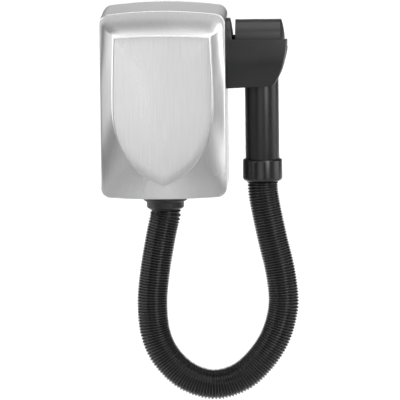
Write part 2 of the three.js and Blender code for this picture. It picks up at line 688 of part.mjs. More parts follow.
function cradle() {
  const rim = CRADLE_RIM;
  let body = cradleBlock(0, CRADLE_BOTTOM, rim);
  // the lower edge climbs towards the free end
  const wedge = new THREE.Shape();
  wedge.moveTo(CRADLE_LEFT - 2, CRADLE_BOTTOM - 6);
  wedge.lineTo(CRADLE_END + 20, CRADLE_BOTTOM - 6);
  wedge.lineTo(CRADLE_END + 20, CRADLE_BOTTOM + CRADLE_BOTTOM_RISE * 1.3);
  wedge.lineTo(CRADLE_LEFT - 2, CRADLE_BOTTOM);
  body = body.subtract(solid(slabXZ(wedge, -120, 0)));
  const pocket = cradleBlock(CRADLE_WALL, CRADLE_FLOOR, rim + 20);
  const skirt = cradleBlock(CRADLE_WALL, CRADLE_BOTTOM - 12, CRADLE_FLOOR - CRADLE_WALL);
  const keepLeft = solid(box(60, CRADLE_LEFT + 5.5, -120, 0, -20, 200));
  body = body.subtract(pocket.subtract(keepLeft)).subtract(skirt.subtract(keepLeft));
  // upstand against the case, concentric with the barrel
  const rise = new THREE.Shape();
  rise.moveTo(CRADLE_LEFT, rim - 6);
  rise.lineTo(CRADLE_LEFT + 8.2, rim - 6);
  rise.lineTo(CRADLE_LEFT + 7.8, rim + 3);
  rise.lineTo(CRADLE_LEFT + 4.4, rim + 30);
  rise.lineTo(CRADLE_LEFT, rim + 30);
  const disc = solid(rod('x', UPSTAND_RADIUS, CRADLE_LEFT - 5, CRADLE_LEFT + 20, [AXIS_Y, HEAD_Z - 0.5], 48));
  body = body.add(solid(slabXZ(rise, AXIS_Y - 40, AXIS_Y + 40)).intersect(disc));
  // slot for the handle tube, open at the free end
  const slotEnd = HANDLE_X + 80;
  body = body.subtract(solid(rod('z', CRADLE_SLOT, 0, rim + 40, [HANDLE_X, AXIS_Y], 40)));
  body = body.subtract(solid(box(HANDLE_X, slotEnd, AXIS_Y - CRADLE_SLOT, AXIS_Y + CRADLE_SLOT, 0, rim + 40)));
  // the rear corner of the free end is cut lower
  body = body.subtract(solid(box(140, slotEnd, AXIS_Y, AXIS_Y + 60, rim - 14, rim + 40)));
  body = body.subtract(solid(rod('z', 3 + GAP, CRADLE_FLOOR - 10, CRADLE_FLOOR + 10,
    [LIFT_SWITCH_X, AXIS_Y], 20)));
  for (const z of CRADLE_SCREW_Z) {
    body = body.subtract(solid(rod('x', 2 + GAP, CRADLE_LEFT - 5, CRADLE_LEFT + 4, [AXIS_Y, z], 16)));
  }
  add('cradle', body, finish.black());
}

function cradleScrews() {
  const inner = CASE_HALF_WIDTH - SHEET - GAP;
  CRADLE_SCREW_Z.forEach((z, i) => {
    const body = solid(rod('x', 2, inner - 1, CRADLE_LEFT + 3.6, [AXIS_Y, z], 16))
      .add(solid(rod('x', 4.2, inner - 2.6, inner, [AXIS_Y, z], 20)));
    add('cradle_screw_' + ['lower', 'upper'][i], body, finish.zinc());
  });
}

function liftSwitch() {
  const top = CRADLE_FLOOR - CRADLE_WALL - GAP;
  const x0 = CRADLE_LEFT + 5.5 + GAP;
  let body = solid(box(x0, LIFT_SWITCH_X + 4.4, AXIS_Y - 9, AXIS_Y + 9, top - 15, top));
  body = body.subtract(solid(rod('z', 3 + GAP, top - 10, top + 5, [LIFT_SWITCH_X, AXIS_Y], 20)));
  add('switch_body', body, finish.grey());
  const tip = HEAD_Z - HEAD_RADIUS - GAP - 0.2;
  const profile = [[0, top - 8], [3, top - 8], [3, tip - 1.4], [1.6, tip], [0, tip]];
  add('switch_plunger', turned(profile, LIFT_SWITCH_X, AXIS_Y, 20), finish.ivory());
}

// ---------------------------------------------------------------- handset

function headShell() {
  const left = HEAD_LEFT;
  let body = solid(rod('x', HEAD_RADIUS, left, HEAD_RIGHT, [AXIS_Y, HEAD_Z], 56));
  body = body.subtract(solid(rod('x', HEAD_RADIUS - HEAD_WALL, left - 5, HEAD_RIGHT + 5, [AXIS_Y, HEAD_Z], 48)));
  body = body.subtract(solid(rod('z', TUBE_RADIUS + GAP, 0, HEAD_Z, [HANDLE_X, AXIS_Y], 40)));
  add('head_shell', body, finish.black());
}

// A cap with a shallow dome and a spigot inside the barrel.
function headEndCap() {
  const steps = 6;
  const radius = (HEAD_RADIUS * HEAD_RADIUS + DOME_RISE * DOME_RISE) / (2 * DOME_RISE);
  const start = HEAD_RIGHT + GAP;
  const profile = [[0, start - 3]];
  profile.push([HEAD_RADIUS - HEAD_WALL - GAP, start - 3]);
  profile.push([HEAD_RADIUS - HEAD_WALL - GAP, start]);
  for (let i = 0; i <= steps; i++) {
    const r = HEAD_RADIUS * (1 - i / steps);
    profile.push([r, start + DOME_RISE - GAP - (radius - Math.sqrt(radius * radius - r * r)) + 0.001]);
  }
  const points = profile.map(([r, h]) => new THREE.Vector2(r, h));
  const geometry = new THREE.LatheGeometry(points, 48);
  geometry.rotateZ(-Math.PI / 2);
  geometry.translate(0, AXIS_Y, HEAD_Z);
  add('head_end_cap', geometry, finish.black());
}

function outlet() {
  const face = HEAD_LEFT + OUTLET_RECESS;
  const inner = HEAD_RADIUS - HEAD_WALL - GAP;
  let grille = solid(rod('x', inner, face, face + 3, [AXIS_Y, HEAD_Z], 40));
  for (let i = -3; i <= 3; i++) {
    const reach = Math.sqrt(22 * 22 - Math.pow(i * 6.4, 2));
    const y = AXIS_Y + i * 6.4;
    grille = grille.subtract(solid(box(face - 5, face + 8, y - 1.8, y + 1.8, HEAD_Z - reach, HEAD_Z + reach)));
  }
  add('outlet_grille', grille, finish.softBlack());
  let ring = solid(rod('x', inner, HEAD_LEFT + 0.6, face - GAP, [AXIS_Y, HEAD_Z], 40));
  ring = ring.subtract(solid(rod('x', inner - 2.4, HEAD_LEFT - 5, face + 5, [AXIS_Y, HEAD_Z], 40)));
  add('outlet_ring', ring, finish.softBlack());
}

function handleTube() {
  const bore = TUBE_RADIUS - TUBE_WALL;
  const profile = [
    [bore, TUBE_BOTTOM], [TUBE_RADIUS, TUBE_BOTTOM], [TUBE_RADIUS, TUBE_TOP],
    [bore, TUBE_TOP], [bore, TUBE_BOTTOM],
  ];
  add('handle_tube', turned(profile, HANDLE_X, AXIS_Y, 48), finish.black());
}

function hoseCuff() {
  const profile = [
    [16, CUFF_BOTTOM], [CUFF_RADIUS - 4.5, CUFF_BOTTOM], [CUFF_RADIUS - 1.2, CUFF_BOTTOM + 2.4],
    [CUFF_RADIUS, CUFF_BOTTOM + 4.6], [CUFF_RADIUS, CUFF_TOP - 2.6], [CUFF_RADIUS - 0.9, CUFF_TOP - 1],
    [CUFF_RADIUS - 3, CUFF_TOP], [TUBE_RADIUS + GAP, CUFF_TOP], [TUBE_RADIUS + GAP, TUBE_BOTTOM - GAP],
    [16, TUBE_BOTTOM - GAP], [16, CUFF_BOTTOM],
  ];
  add('hose_cuff', turned(profile, HANDLE_X, AXIS_Y, 48), finish.softBlack());
}

// ---------------------------------------------------------------- hose

// The hose hangs in a loop from the socket to the cuff, all in one upright plane.
const HOSE_ROUTE = [
  [0, SOCKET_END - GAP], [0, -148], [-3.5, -163], [-9, -190], [-15, -226], [-18.5, -266],
  [-14, -308], [0, -337], [27, -362], [62, -372], [97, -362], [124, -337], [142, -308],
  [151.5, -274], [152.3, -256], [148, -221], [139.5, -184], [131, -143], [127.8, -124],
  [HANDLE_X, -113], [HANDLE_X, CUFF_BOTTOM - GAP],
];
const HOSE_STEPS = 40;

function hose() {
  const points = HOSE_ROUTE.map(([x, z]) => new THREE.Vector3(x, AXIS_Y, z));
  const path = new THREE.CatmullRomCurve3(points, false, 'centripetal');
  const geometry = new THREE.ExtrudeGeometry(roundSection(HOSE_RADIUS, 12), { steps: HOSE_STEPS, extrudePath: path });
  add('hose', geometry, finish.softBlack());
}

// ---------------------------------------------------------------- assembly

backPlate();
cover();
coverScrews();
volute();
impeller();
motor();
motorMount();
heater();
ductAdapter();
hoseSocket();
electrics();
mainsInlet();
inletFilters();
cradle();
cradleScrews();
liftSwitch();
headShell();
headEndCap();
outlet();
handleTube();
hoseCuff();
hose();

export default root;
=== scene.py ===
"""A wall-mounted hose hair dryer with a side cradle: the visible pieces, their finishes and the stage."""

import json
import math

import bmesh
import bpy
from bpy.props import FloatProperty, FloatVectorProperty, IntProperty, PointerProperty
from mathutils import Matrix, Vector

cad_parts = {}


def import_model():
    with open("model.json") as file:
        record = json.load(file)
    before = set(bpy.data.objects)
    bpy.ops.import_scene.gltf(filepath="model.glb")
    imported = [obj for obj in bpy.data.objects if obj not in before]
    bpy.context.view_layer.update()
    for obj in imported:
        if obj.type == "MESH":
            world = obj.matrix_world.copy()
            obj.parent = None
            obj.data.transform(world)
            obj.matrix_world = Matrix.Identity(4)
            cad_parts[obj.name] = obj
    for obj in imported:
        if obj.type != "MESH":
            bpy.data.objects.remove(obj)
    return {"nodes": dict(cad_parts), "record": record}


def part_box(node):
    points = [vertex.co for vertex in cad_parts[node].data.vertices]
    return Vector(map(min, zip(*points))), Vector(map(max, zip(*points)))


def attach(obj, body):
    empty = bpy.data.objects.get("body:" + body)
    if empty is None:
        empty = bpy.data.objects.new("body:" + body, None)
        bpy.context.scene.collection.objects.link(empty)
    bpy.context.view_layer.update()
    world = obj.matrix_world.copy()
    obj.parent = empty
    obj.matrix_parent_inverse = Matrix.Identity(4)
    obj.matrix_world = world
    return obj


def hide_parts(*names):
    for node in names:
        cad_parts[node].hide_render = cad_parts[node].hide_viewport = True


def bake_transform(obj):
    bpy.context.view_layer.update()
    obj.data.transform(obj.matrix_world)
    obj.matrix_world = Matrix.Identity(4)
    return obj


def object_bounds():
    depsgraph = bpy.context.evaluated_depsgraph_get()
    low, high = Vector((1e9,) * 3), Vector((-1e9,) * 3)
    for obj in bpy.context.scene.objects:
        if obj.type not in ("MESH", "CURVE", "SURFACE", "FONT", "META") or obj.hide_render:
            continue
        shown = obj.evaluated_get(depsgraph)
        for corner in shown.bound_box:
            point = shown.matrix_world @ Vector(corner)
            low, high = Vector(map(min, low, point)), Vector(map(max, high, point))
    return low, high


bl_info = {
    "name": "Wall Hair Dryer",
    "version": (1, 0, 0),
    "blender": (4, 5, 0),
    "location": "View3D > Sidebar > Dryer",
    "description": "Builds a wall-mounted hose hair dryer around its packed frame",
    "category": "Object",
}

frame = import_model()
CAD_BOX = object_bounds()

MM = 0.001

# -------------------- places taken from the frame

SOCKET_LOW, SOCKET_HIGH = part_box("hose_socket")
CUFF_LOW, CUFF_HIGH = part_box("hose_cuff")
TUBE_LOW, TUBE_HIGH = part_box("handle_tube")
HEAD_LOW, HEAD_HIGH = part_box("head_shell")
CAP_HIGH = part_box("head_end_cap")[1]
GRILLE_LOW, GRILLE_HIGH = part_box("outlet_grille")
CRADLE_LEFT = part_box("cradle")[0].x

AXIS_Y = (SOCKET_LOW.y + SOCKET_HIGH.y) / 2
HANDLE_X = (TUBE_LOW.x + TUBE_HIGH.x) / 2
HEAD_Z = (HEAD_LOW.z + HEAD_HIGH.z) / 2
HEAD_RADIUS = (HEAD_HIGH.z - HEAD_LOW.z) / 2
GAP = 0.3 * MM
HOSE_BORE = 16 * MM
HOSE_SEAT = 20.3 * MM
SEAT_DEPTH = 3 * MM

# The hose's centreline in the plane of the socket and the handle, as in the CAD source: (x, z) in metres.
HOSE_ROUTE = [
    (0.0, -0.1408), (0.0, -0.148), (-0.0035, -0.163), (-0.009, -0.190), (-0.015, -0.226),
    (-0.0185, -0.266), (-0.014, -0.308), (0.0, -0.337), (0.027, -0.362), (0.062, -0.372),
    (0.097, -0.362), (0.124, -0.337), (0.142, -0.308), (0.1515, -0.274), (0.1523, -0.256),
    (0.148, -0.221), (0.1395, -0.184), (0.131, -0.143), (0.1278, -0.124), (0.1268, -0.113),
    (0.1268, -0.1058),
]


# -------------------- settings

class DryerShape(bpy.types.PropertyGroup):
    """Sizes that a user would change."""

    hose_diameter: FloatProperty(
        name="Hose diameter", description="Outside diameter over the ribs",
        default=0.040, min=0.02, max=0.06, subtype="DISTANCE", unit="LENGTH")
    rib_pitch: FloatProperty(
        name="Rib pitch", description="Distance from one hose rib to the next",
        default=0.0035, min=0.002, max=0.008, subtype="DISTANCE", unit="LENGTH")
    rib_depth: FloatProperty(
        name="Rib depth", description="Depth of the groove between two ribs",
        default=0.0024, min=0.0005, max=0.004, subtype="DISTANCE", unit="LENGTH")
    hose_sides: IntProperty(
        name="Hose sides", description="Faces around the hose", default=40, min=16, max=96)
    shield_rise: FloatProperty(
        name="Shield rise", description="How far the shield stands proud of the front rim",
        default=0.010, min=0.002, max=0.02, subtype="DISTANCE", unit="LENGTH")
    edge_round: FloatProperty(
        name="Edge rounding", description="Rounding of the moulded plastic edges",
        default=0.0006, min=0.0001, max=0.003, subtype="DISTANCE", unit="LENGTH")
    slat_count: IntProperty(
        name="Outlet slats", description="Bars in the outlet grille", default=7, min=3, max=15)


class DryerFinish(bpy.types.PropertyGroup):
    """Colours that a user would change."""

    steel: FloatVectorProperty(
        name="Steel", description="Colour of the brushed steel cover", subtype="COLOR",
        default=(0.625, 0.625, 0.625), min=0.0, max=1.0)
    moulding: FloatVectorProperty(
        name="Black moulding", description="Colour of the cradle, the head and the socket", subtype="COLOR",
        default=(0.007, 0.0071, 0.0075), min=0.0, max=1.0)
    rubber: FloatVectorProperty(
        name="Hose black", description="Colour of the hose, its cuff and the handle", subtype="COLOR",
        default=(0.005, 0.005, 0.0052), min=0.0, max=1.0)
    floor: FloatVectorProperty(
        name="Floor", description="Colour of the floor", subtype="COLOR",
        default=(0.88, 0.88, 0.88), min=0.0, max=1.0)


# -------------------- materials

def node_material(name, color, roughness, metallic=0.0):
    """Makes a material with a Principled shader, and gives its node tree and that shader."""
    material = bpy.data.materials.new(name)
    material.use_nodes = True
    tree = material.node_tree
    shader = tree.nodes["Principled BSDF"]
    shader.inputs["Base Color"].default_value = (*color, 1.0)
    shader.inputs["Roughness"].default_value = roughness
    shader.inputs["Metallic"].default_value = metallic
    return tree, shader


def object_noise(tree, scale, detail=3.0, roughness=0.5):
    """A noise texture on Object coordinates, stretched by a per-axis scale."""
    coords = tree.nodes.new("ShaderNodeTexCoord")
    mapping = tree.nodes.new("ShaderNodeMapping")
    mapping.inputs["Scale"].default_value = scale
    noise = tree.nodes.new("ShaderNodeTexNoise")
    noise.inputs["Scale"].default_value = 1.0
    noise.inputs["Detail"].default_value = detail
    noise.inputs["Roughness"].default_value = roughness
    tree.links.new(coords.outputs["Object"], mapping.inputs["Vector"])
    tree.links.new(mapping.outputs["Vector"], noise.inputs["Vector"])
    return noise


def ramp(tree, source, low, high, start=0.3, end=0.7):
    """Maps a texture's values onto a range of numbers."""
    remap = tree.nodes.new("ShaderNodeMapRange")
    remap.inputs["From Min"].default_value = start
    remap.inputs["From Max"].default_value = end
    remap.inputs["To Min"].default_value = low
    remap.inputs["To Max"].default_value = high
    tree.links.new(source, remap.inputs["Value"])
    return remap.outputs["Result"]


def tint(tree, source, dark, light):
    """Mixes two colours by a texture's values."""
    mix = tree.nodes.new("ShaderNodeMix")
    mix.data_type = "RGBA"
    mix.inputs[6].default_value = (*dark, 1.0)
    mix.inputs[7].default_value = (*light, 1.0)
    tree.links.new(source, mix.inputs[0])
    return mix.outputs[2]


def bump(tree, shader, source, strength, distance):
    """Raises the surface by a texture's values."""
    node = tree.nodes.new("ShaderNodeBump")
    node.inputs["Strength"].default_value = strength
    node.inputs["Distance"].default_value = distance
    tree.links.new(source, node.inputs["Height"])
    tree.links.new(node.outputs["Normal"], shader.inputs["Normal"])


def shade(color, factor):
    """A lighter or darker colour, at most white."""
    return tuple(min(1.0, c * factor) for c in color)


def brushed_steel(color):
    """Stainless sheet with an upright brushed grain."""
    tree, shader = node_material("brushed_steel", color, 0.29, 1.0)
    grain = object_noise(tree, (1300.0, 1300.0, 22.0), detail=4.0, roughness=0.65)
    cloud = object_noise(tree, (14.0, 14.0, 5.0), detail=2.0)
    tree.links.new(tint(tree, grain.outputs["Fac"], shade(color, 0.84), shade(color, 1.16)),
                   shader.inputs["Base Color"])
    tree.links.new(ramp(tree, cloud.outputs["Fac"], 0.27, 0.31), shader.inputs["Roughness"])
    bump(tree, shader, grain.outputs["Fac"], 0.06, 0.0004)


def moulded_plastic(name, color, roughness, texture=0.25, gloss=0.5):
    """Injection-moulded plastic with a fine spark-eroded texture."""
    tree, shader = node_material(name, color, roughness)
    shader.inputs["Specular IOR Level"].default_value = gloss
    fine = object_noise(tree, (2600.0, 2600.0, 2600.0), detail=2.0)
    cloud = object_noise(tree, (30.0, 30.0, 30.0), detail=3.0)
    tree.links.new(tint(tree, cloud.outputs["Fac"], shade(color, 0.86), shade(color, 1.14)),
                   shader.inputs["Base Color"])
    tree.links.new(ramp(tree, cloud.outputs["Fac"], roughness - 0.04, roughness + 0.05),
                   shader.inputs["Roughness"])
    bump(tree, shader, fine.outputs["Fac"], texture, 0.0002)


def plated_steel():
    """Zinc-plated steel with the mottled spangle of plating."""
    color = (0.47, 0.48, 0.49)
    tree, shader = node_material("plated_steel", color, 0.42, 1.0)
    spangle = object_noise(tree, (160.0, 160.0, 160.0), detail=2.0)
    tree.links.new(tint(tree, spangle.outputs["Fac"], shade(color, 0.85), shade(color, 1.12)),
                   shader.inputs["Base Color"])
    tree.links.new(ramp(tree, spangle.outputs["Fac"], 0.34, 0.50), shader.inputs["Roughness"])


def resistance_wire():
    """Heater wire with straw and blue oxide colours along it."""
    tree, shader = node_material("resistance_wire", (0.26, 0.17, 0.11), 0.4, 1.0)
    band = object_noise(tree, (60.0, 60.0, 200.0), detail=1.0)
    tree.links.new(tint(tree, band.outputs["Fac"], (0.30, 0.18, 0.10), (0.16, 0.17, 0.22)),
                   shader.inputs["Base Color"])


def circuit_board():
    """Green laminate with a faint weave."""
    tree, shader = node_material("circuit_board", (0.03, 0.15, 0.05), 0.35)
    weave = tree.nodes.new("ShaderNodeTexWave")
    coords = tree.nodes.new("ShaderNodeTexCoord")
    weave.inputs["Scale"].default_value = 600.0
    tree.links.new(coords.outputs["Object"], weave.inputs["Vector"])
    tree.links.new(tint(tree, weave.outputs["Fac"], (0.022, 0.12, 0.04), (0.035, 0.17, 0.06)),
                   shader.inputs["Base Color"])


def build_materials(finish):
    """Makes every finish from the chosen colours."""
    brushed_steel(tuple(finish.steel))
    plated_steel()
    moulded_plastic("black_moulding", tuple(finish.moulding), 0.39)
    moulded_plastic("tube_black", tuple(finish.rubber), 0.31, texture=0.04, gloss=0.50)
    moulded_plastic("hose_black", tuple(finish.rubber), 0.24, texture=0.03, gloss=0.56)
    moulded_plastic("grey_moulding", (0.16, 0.17, 0.18), 0.5)
    moulded_plastic("ivory_moulding", (0.66, 0.62, 0.50), 0.5)
    circuit_board()
    resistance_wire()


FINISH_NAMES = {
    "steel": "brushed_steel", "zinc": "plated_steel", "black_plastic": "black_moulding",
    "tube_black": "tube_black", "soft_black": "hose_black", "grey_plastic": "grey_moulding",
    "ivory_plastic": "ivory_moulding", "green_board": "circuit_board", "heater_wire": "resistance_wire",
}


def finish_of(slot):
    """The material of a finish, made on first use."""
    if FINISH_NAMES[slot] not in bpy.data.materials:
        build_materials(bpy.context.scene.dryer_finish)
    return bpy.data.materials[FINISH_NAMES[slot]]


def repaint(piece, slot):
    """Leaves a piece with one finish."""
    piece.data.materials.clear()
    piece.data.materials.append(finish_of(slot))


# -------------------- mesh helpers

def new_object(name, data):
    """An object in the scene's own collection."""
    piece = bpy.data.objects.new(name, data)
    bpy.context.scene.collection.objects.link(piece)
    return piece


def link_mesh(name, mesh, slot):
    """An object with a mesh and its finish."""
    piece = new_object(name, mesh)
    if not mesh.materials:
        mesh.materials.append(finish_of(slot))
    return piece


def place(piece, body, slot, *replaced):
    """Rides a finished piece on its body and hides the CAD nodes it stands for."""
    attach(piece, body)
    if replaced:
        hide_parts(*replaced)


def solid_mesh(name, shell):
    """The mesh of a closed shell, with its faces turned outwards."""
    bmesh.ops.recalc_face_normals(shell, faces=shell.faces)
    mesh = bpy.data.meshes.new(name)
    shell.to_mesh(mesh)
    shell.free()
    return mesh


def evaluated_mesh(piece):
    """The plain mesh that an object's modifiers make."""
    bpy.context.view_layer.update()
    graph = bpy.context.evaluated_depsgraph_get()
    return bpy.data.meshes.new_from_object(piece.evaluated_get(graph))


def apply_modifiers(piece):
    """Gives a piece the mesh that its modifiers make, and removes them."""
    mesh = evaluated_mesh(piece)
    piece.modifiers.clear()
    old = piece.data
    piece.data = mesh
    bpy.data.meshes.remove(old)


def smooth_by_angle(mesh, degrees):
    """Smooth faces, with the edges sharper than an angle kept hard."""
    for polygon in mesh.polygons:
        polygon.use_smooth = True
    mesh.set_sharp_from_angle(angle=math.radians(degrees))


def rounded(points, radius, steps=4):
    """A closed outline with every corner replaced by an arc."""
    result = []
    count = len(points)
    for i in range(count):
        corner = Vector(points[i])
        before = Vector(points[i - 1]) - corner
        after = Vector(points[(i + 1) % count]) - corner
        turn = before.angle(after, math.pi)
        size = radius[i] if isinstance(radius, (list, tuple)) else radius
        if size <= 0 or turn > math.radians(178):
            result.append(tuple(corner))
            continue
        reach = min(size / math.tan(turn / 2), before.length * 0.48, after.length * 0.48)
        a = corner + before.normalized() * reach
        b = corner + after.normalized() * reach
        for k in range(steps + 1):
            t = k / steps
            result.append(tuple(a * (1 - t) ** 2 + corner * 2 * t * (1 - t) + b * t * t))
    return result


def lathe(name, profile, origin, axis, slot, segments=96, angle=35):
    """A closed ring or a solid turned from (radius, height) pairs about an axis through origin."""
    shell = bmesh.new()
    rings = []
    for r, h in profile:
        if r < 1e-7:
            rings.append([shell.verts.new((0, 0, h))])
            continue
        ring = []
        for i in range(segments):
            a = 2 * math.pi * i / segments
            ring.append(shell.verts.new((r * math.cos(a), r * math.sin(a), h)))
        rings.append(ring)
    pairs = list(zip(rings, rings[1:]))
    if len(rings[0]) > 1 and len(rings[-1]) > 1:
        pairs.append((rings[-1], rings[0]))
    for low, high in pairs:
        for i in range(segments):
            j = (i + 1) % segments
            if len(low) == 1 and len(high) == 1:
                continue
            if len(low) == 1:
                shell.faces.new((low[0], high[j], high[i]))
            elif len(high) == 1:
                shell.faces.new((low[i], low[j], high[0]))
            else:
                shell.faces.new((low[i], low[j], high[j], high[i]))
    mesh = solid_mesh(name, shell)
    if axis == "X":
        mesh.transform(Matrix.Rotation(math.pi / 2, 4, "Y"))
    mesh.transform(Matrix.Translation(origin))
    smooth_by_angle(mesh, angle)
    return link_mesh(name, mesh, slot)


def wall_between(shell, upper, lower):
    """Closes the gap between two rings of as many points."""
    count = len(upper)
    for i in range(count):
        j = (i + 1) % count
        shell.faces.new((upper[i], lower[i], lower[j], upper[j]))


def add_prism(shell, outline, plane, low, high):
    """Adds an outline extruded along the third axis."""
    rows = []
    for level in (low, high):
        if plane == "XZ":
            rows.append([shell.verts.new((u, level, v)) for u, v in outline])
        elif plane == "YZ":
            rows.append([shell.verts.new((level, u, v)) for u, v in outline])
        else:
            rows.append([shell.verts.new((u, v, level)) for u, v in outline])
    shell.faces.new(rows[0])
    shell.faces.new(list(reversed(rows[1])))
    wall_between(shell, *rows)


def prism(name, outline, plane, low, high):
    """A solid extruded from one outline."""
    return prisms(name, [outline], plane, low, high)


def prisms(name, outlines, plane, low, high):
    """Solids extruded from outlines that don't touch, as one object."""
    shell = bmesh.new()
    for outline in outlines:
        add_prism(shell, outline, plane, low, high)
    return new_object(name, solid_mesh(name, shell))


def circle_outline(center, radius, segments):
    """A circle's points, counted anticlockwise."""
    return [(center[0] + radius * math.cos(2 * math.pi * i / segments),
             center[1] + radius * math.sin(2 * math.pi * i / segments)) for i in range(segments)]


def rectangle(u0, u1, v0, v1):
    """The corners of a rectangle, in order."""
    return [(u0, v0), (u1, v0), (u1, v1), (u0, v1)]


def combine(target, tool, operation):
    """Adds, cuts or keeps the overlap with another solid, and removes that solid."""
    modifier = target.modifiers.new("combine", "BOOLEAN")
    modifier.operation = operation
    modifier.solver = "EXACT"
    modifier.object = tool
    apply_modifiers(target)
    bpy.data.objects.remove(tool)
    return target


MERGE_DISTANCE = 2e-6
FLAT_ANGLE = math.radians(0.4)


def soften_edges(piece, width, degrees=28, segments=3, hard=40):
    """Rounds the hard edges of a finished solid and smooths its faces."""
    shell = bmesh.new()
    shell.from_mesh(piece.data)
    bmesh.ops.remove_doubles(shell, verts=shell.verts, dist=MERGE_DISTANCE)
    bmesh.ops.dissolve_limit(shell, angle_limit=FLAT_ANGLE, verts=shell.verts, edges=shell.edges)
    shell.to_mesh(piece.data)
    shell.free()
    modifier = piece.modifiers.new("soften", "BEVEL")
    modifier.width = width
    modifier.segments = segments
    modifier.limit_method = "ANGLE"
    modifier.angle_limit = math.radians(degrees)
    modifier.use_clamp_overlap = True
    modifier.harden_normals = False
    apply_modifiers(piece)
    smooth_by_angle(piece.data, hard)


# -------------------- stage

CAMERA_AZIMUTH = math.radians(2.2)
CAMERA_ELEVATION = math.radians(6.8)
CAMERA_ROLL = math.radians(0.65)
CAMERA_DISTANCE = 8.0
SENSOR_WIDTH = 36.0
CAMERA_TARGET = Vector((0.045, AXIS_Y, -0.130))
FRAME_WIDTH = 0.520
FLOOR_DROP = 0.20
FLOOR_REACH = 60.0
WORLD_STRENGTH = 0.10

# Every soft box: its name, place, the point it faces, size, power in watts and beam in degrees.
CENTER = (0.0, 0.0, 0.0)
SOFT_BOXES = (
    ("overhead", (0.0, -2.0, 2.0), CENTER, (1.8, 1.0), 14, 180),
    ("top_box", (0.0, -0.2, 2.4), (0.0, -0.2, 0.0), (2.2, 0.9), 18, 180),
    ("front_box", (-0.42, -3.0, -0.30), CENTER, (1.9, 1.0), 1.02, 60),
    ("right_box", (1.50, -2.25, 0.50), (0.05, 0.0, 0.0), (0.9, 1.5), 3.6, 60),
    ("rib_light", (1.55, -1.50, 2.00), (0.05, 0.0, -0.1), (1.5, 1.1), 4.2, 60),
    ("left_box", (-2.10, -1.45, 1.45), CENTER, (1.2, 1.2), 3.4, 60),
    ("upper_front", (0.0, -3.0, 0.75), CENTER, (2.2, 0.8), 0.55, 60),
    ("backdrop_light", (0.0, 5.2, 3.2), (0.0, 5.2, 0.0), (7.0, 8.4), 235, 70),
    ("back_box", (0.0, 8.0, 2.0), CENTER, (6.0, 3.5), 5, 60),
    ("left_side", (-2.1, -1.15, 0.20), CENTER, (1.6, 1.4), 0.85, 60),
    ("right_side", (2.1, -1.15, 0.20), CENTER, (1.6, 1.4), 0.25, 60),
    ("left_strip", (-2.4, 0.10, 0.30), CENTER, (2.0, 1.8), 5.0, 60),
    ("right_strip", (2.4, 0.10, 0.30), CENTER, (2.0, 1.8), 3.2, 60),
)


def camera():
    """A long lens in front of the object, a little to its right and above it."""
    data = bpy.data.cameras.new("camera")
    data.sensor_width = SENSOR_WIDTH
    data.lens = SENSOR_WIDTH * CAMERA_DISTANCE / FRAME_WIDTH
    data.clip_end = 200.0
    view = new_object("camera", data)
    back = Vector((math.sin(CAMERA_AZIMUTH) * math.cos(CAMERA_ELEVATION),
                   -math.cos(CAMERA_AZIMUTH) * math.cos(CAMERA_ELEVATION),
                   math.sin(CAMERA_ELEVATION)))
    turn = back.to_track_quat("Z", "Y").to_matrix().to_4x4()
    view.matrix_world = (Matrix.Translation(CAMERA_TARGET + back * CAMERA_DISTANCE) @ turn
                         @ Matrix.Rotation(-CAMERA_ROLL, 4, "Z"))
    bpy.context.scene.camera = view


def area_light(name, place_at, aim, size, power, spread):
    """A soft box that the camera doesn't see, with its beam's full angle in degrees."""
    data = bpy.data.lights.new(name, "AREA")
    data.shape = "RECTANGLE"
    data.size, data.size_y = size
    data.energy = power
    data.spread = math.radians(spread)
    light = new_object(name, data)
    light.visible_camera = False
    direction = Vector(aim) - Vector(place_at)
    light.matrix_world = (Matrix.Translation(place_at)
                          @ direction.to_track_quat("-Z", "Y").to_matrix().to_4x4())


def floor(color):
    """A wide pale floor well below the hose."""
    mesh = bpy.data.meshes.new("floor")
    level = CAD_BOX[0][2] - FLOOR_DROP
    reach = FLOOR_REACH
    corners = [(x, y, level) for x, y in rectangle(-reach, reach, -reach, reach)]
    mesh.from_pydata(corners, [], [(0, 1, 2, 3)])
    node_material("floor_white", color, 0.9)
    mesh.materials.append(bpy.data.materials["floor_white"])
    new_object("floor", mesh)


def world(strength):
    """An even white surrounding light."""
    scene = bpy.context.scene
    scene.world = bpy.data.worlds.new("studio")
    scene.world.use_nodes = True
    background = scene.world.node_tree.nodes["Background"]
    background.inputs["Color"].default_value = (1.0, 1.0, 1.0, 1.0)
    background.inputs["Strength"].default_value = strength


class DRYER_OT_stage(bpy.types.Operator):
    """Sets the camera, the floor and the soft studio light"""

    bl_idname = "dryer.stage"
    bl_label = "Stage"

    def execute(self, context):
        finish = context.scene.dryer_finish
        camera()
        floor(tuple(finish.floor))
        world(WORLD_STRENGTH)
        for soft_box in SOFT_BOXES:
            area_light(*soft_box)
        context.scene.view_settings.view_transform = "Standard"
        return {"FINISHED"}


# -------------------- hose

ROUTE_STEPS = 14
RINGS_PER_RIB = 8
GROOVE_POWER = 1.3


def hose_curve():
    """The hose's centreline as one smooth open curve, and its points."""
    data = bpy.data.curves.new("hose_line", "CURVE")
    data.dimensions = "3D"
    points = smooth_route(HOSE_ROUTE, ROUTE_STEPS)
    spline = data.splines.new("POLY")
    spline.points.add(len(points) - 1)
    for point, (x, z) in zip(spline.points, points):
        point.co = (x, AXIS_Y, z, 1.0)
    return new_object("hose_line", data), [(x, AXIS_Y, z) for x, z in points]


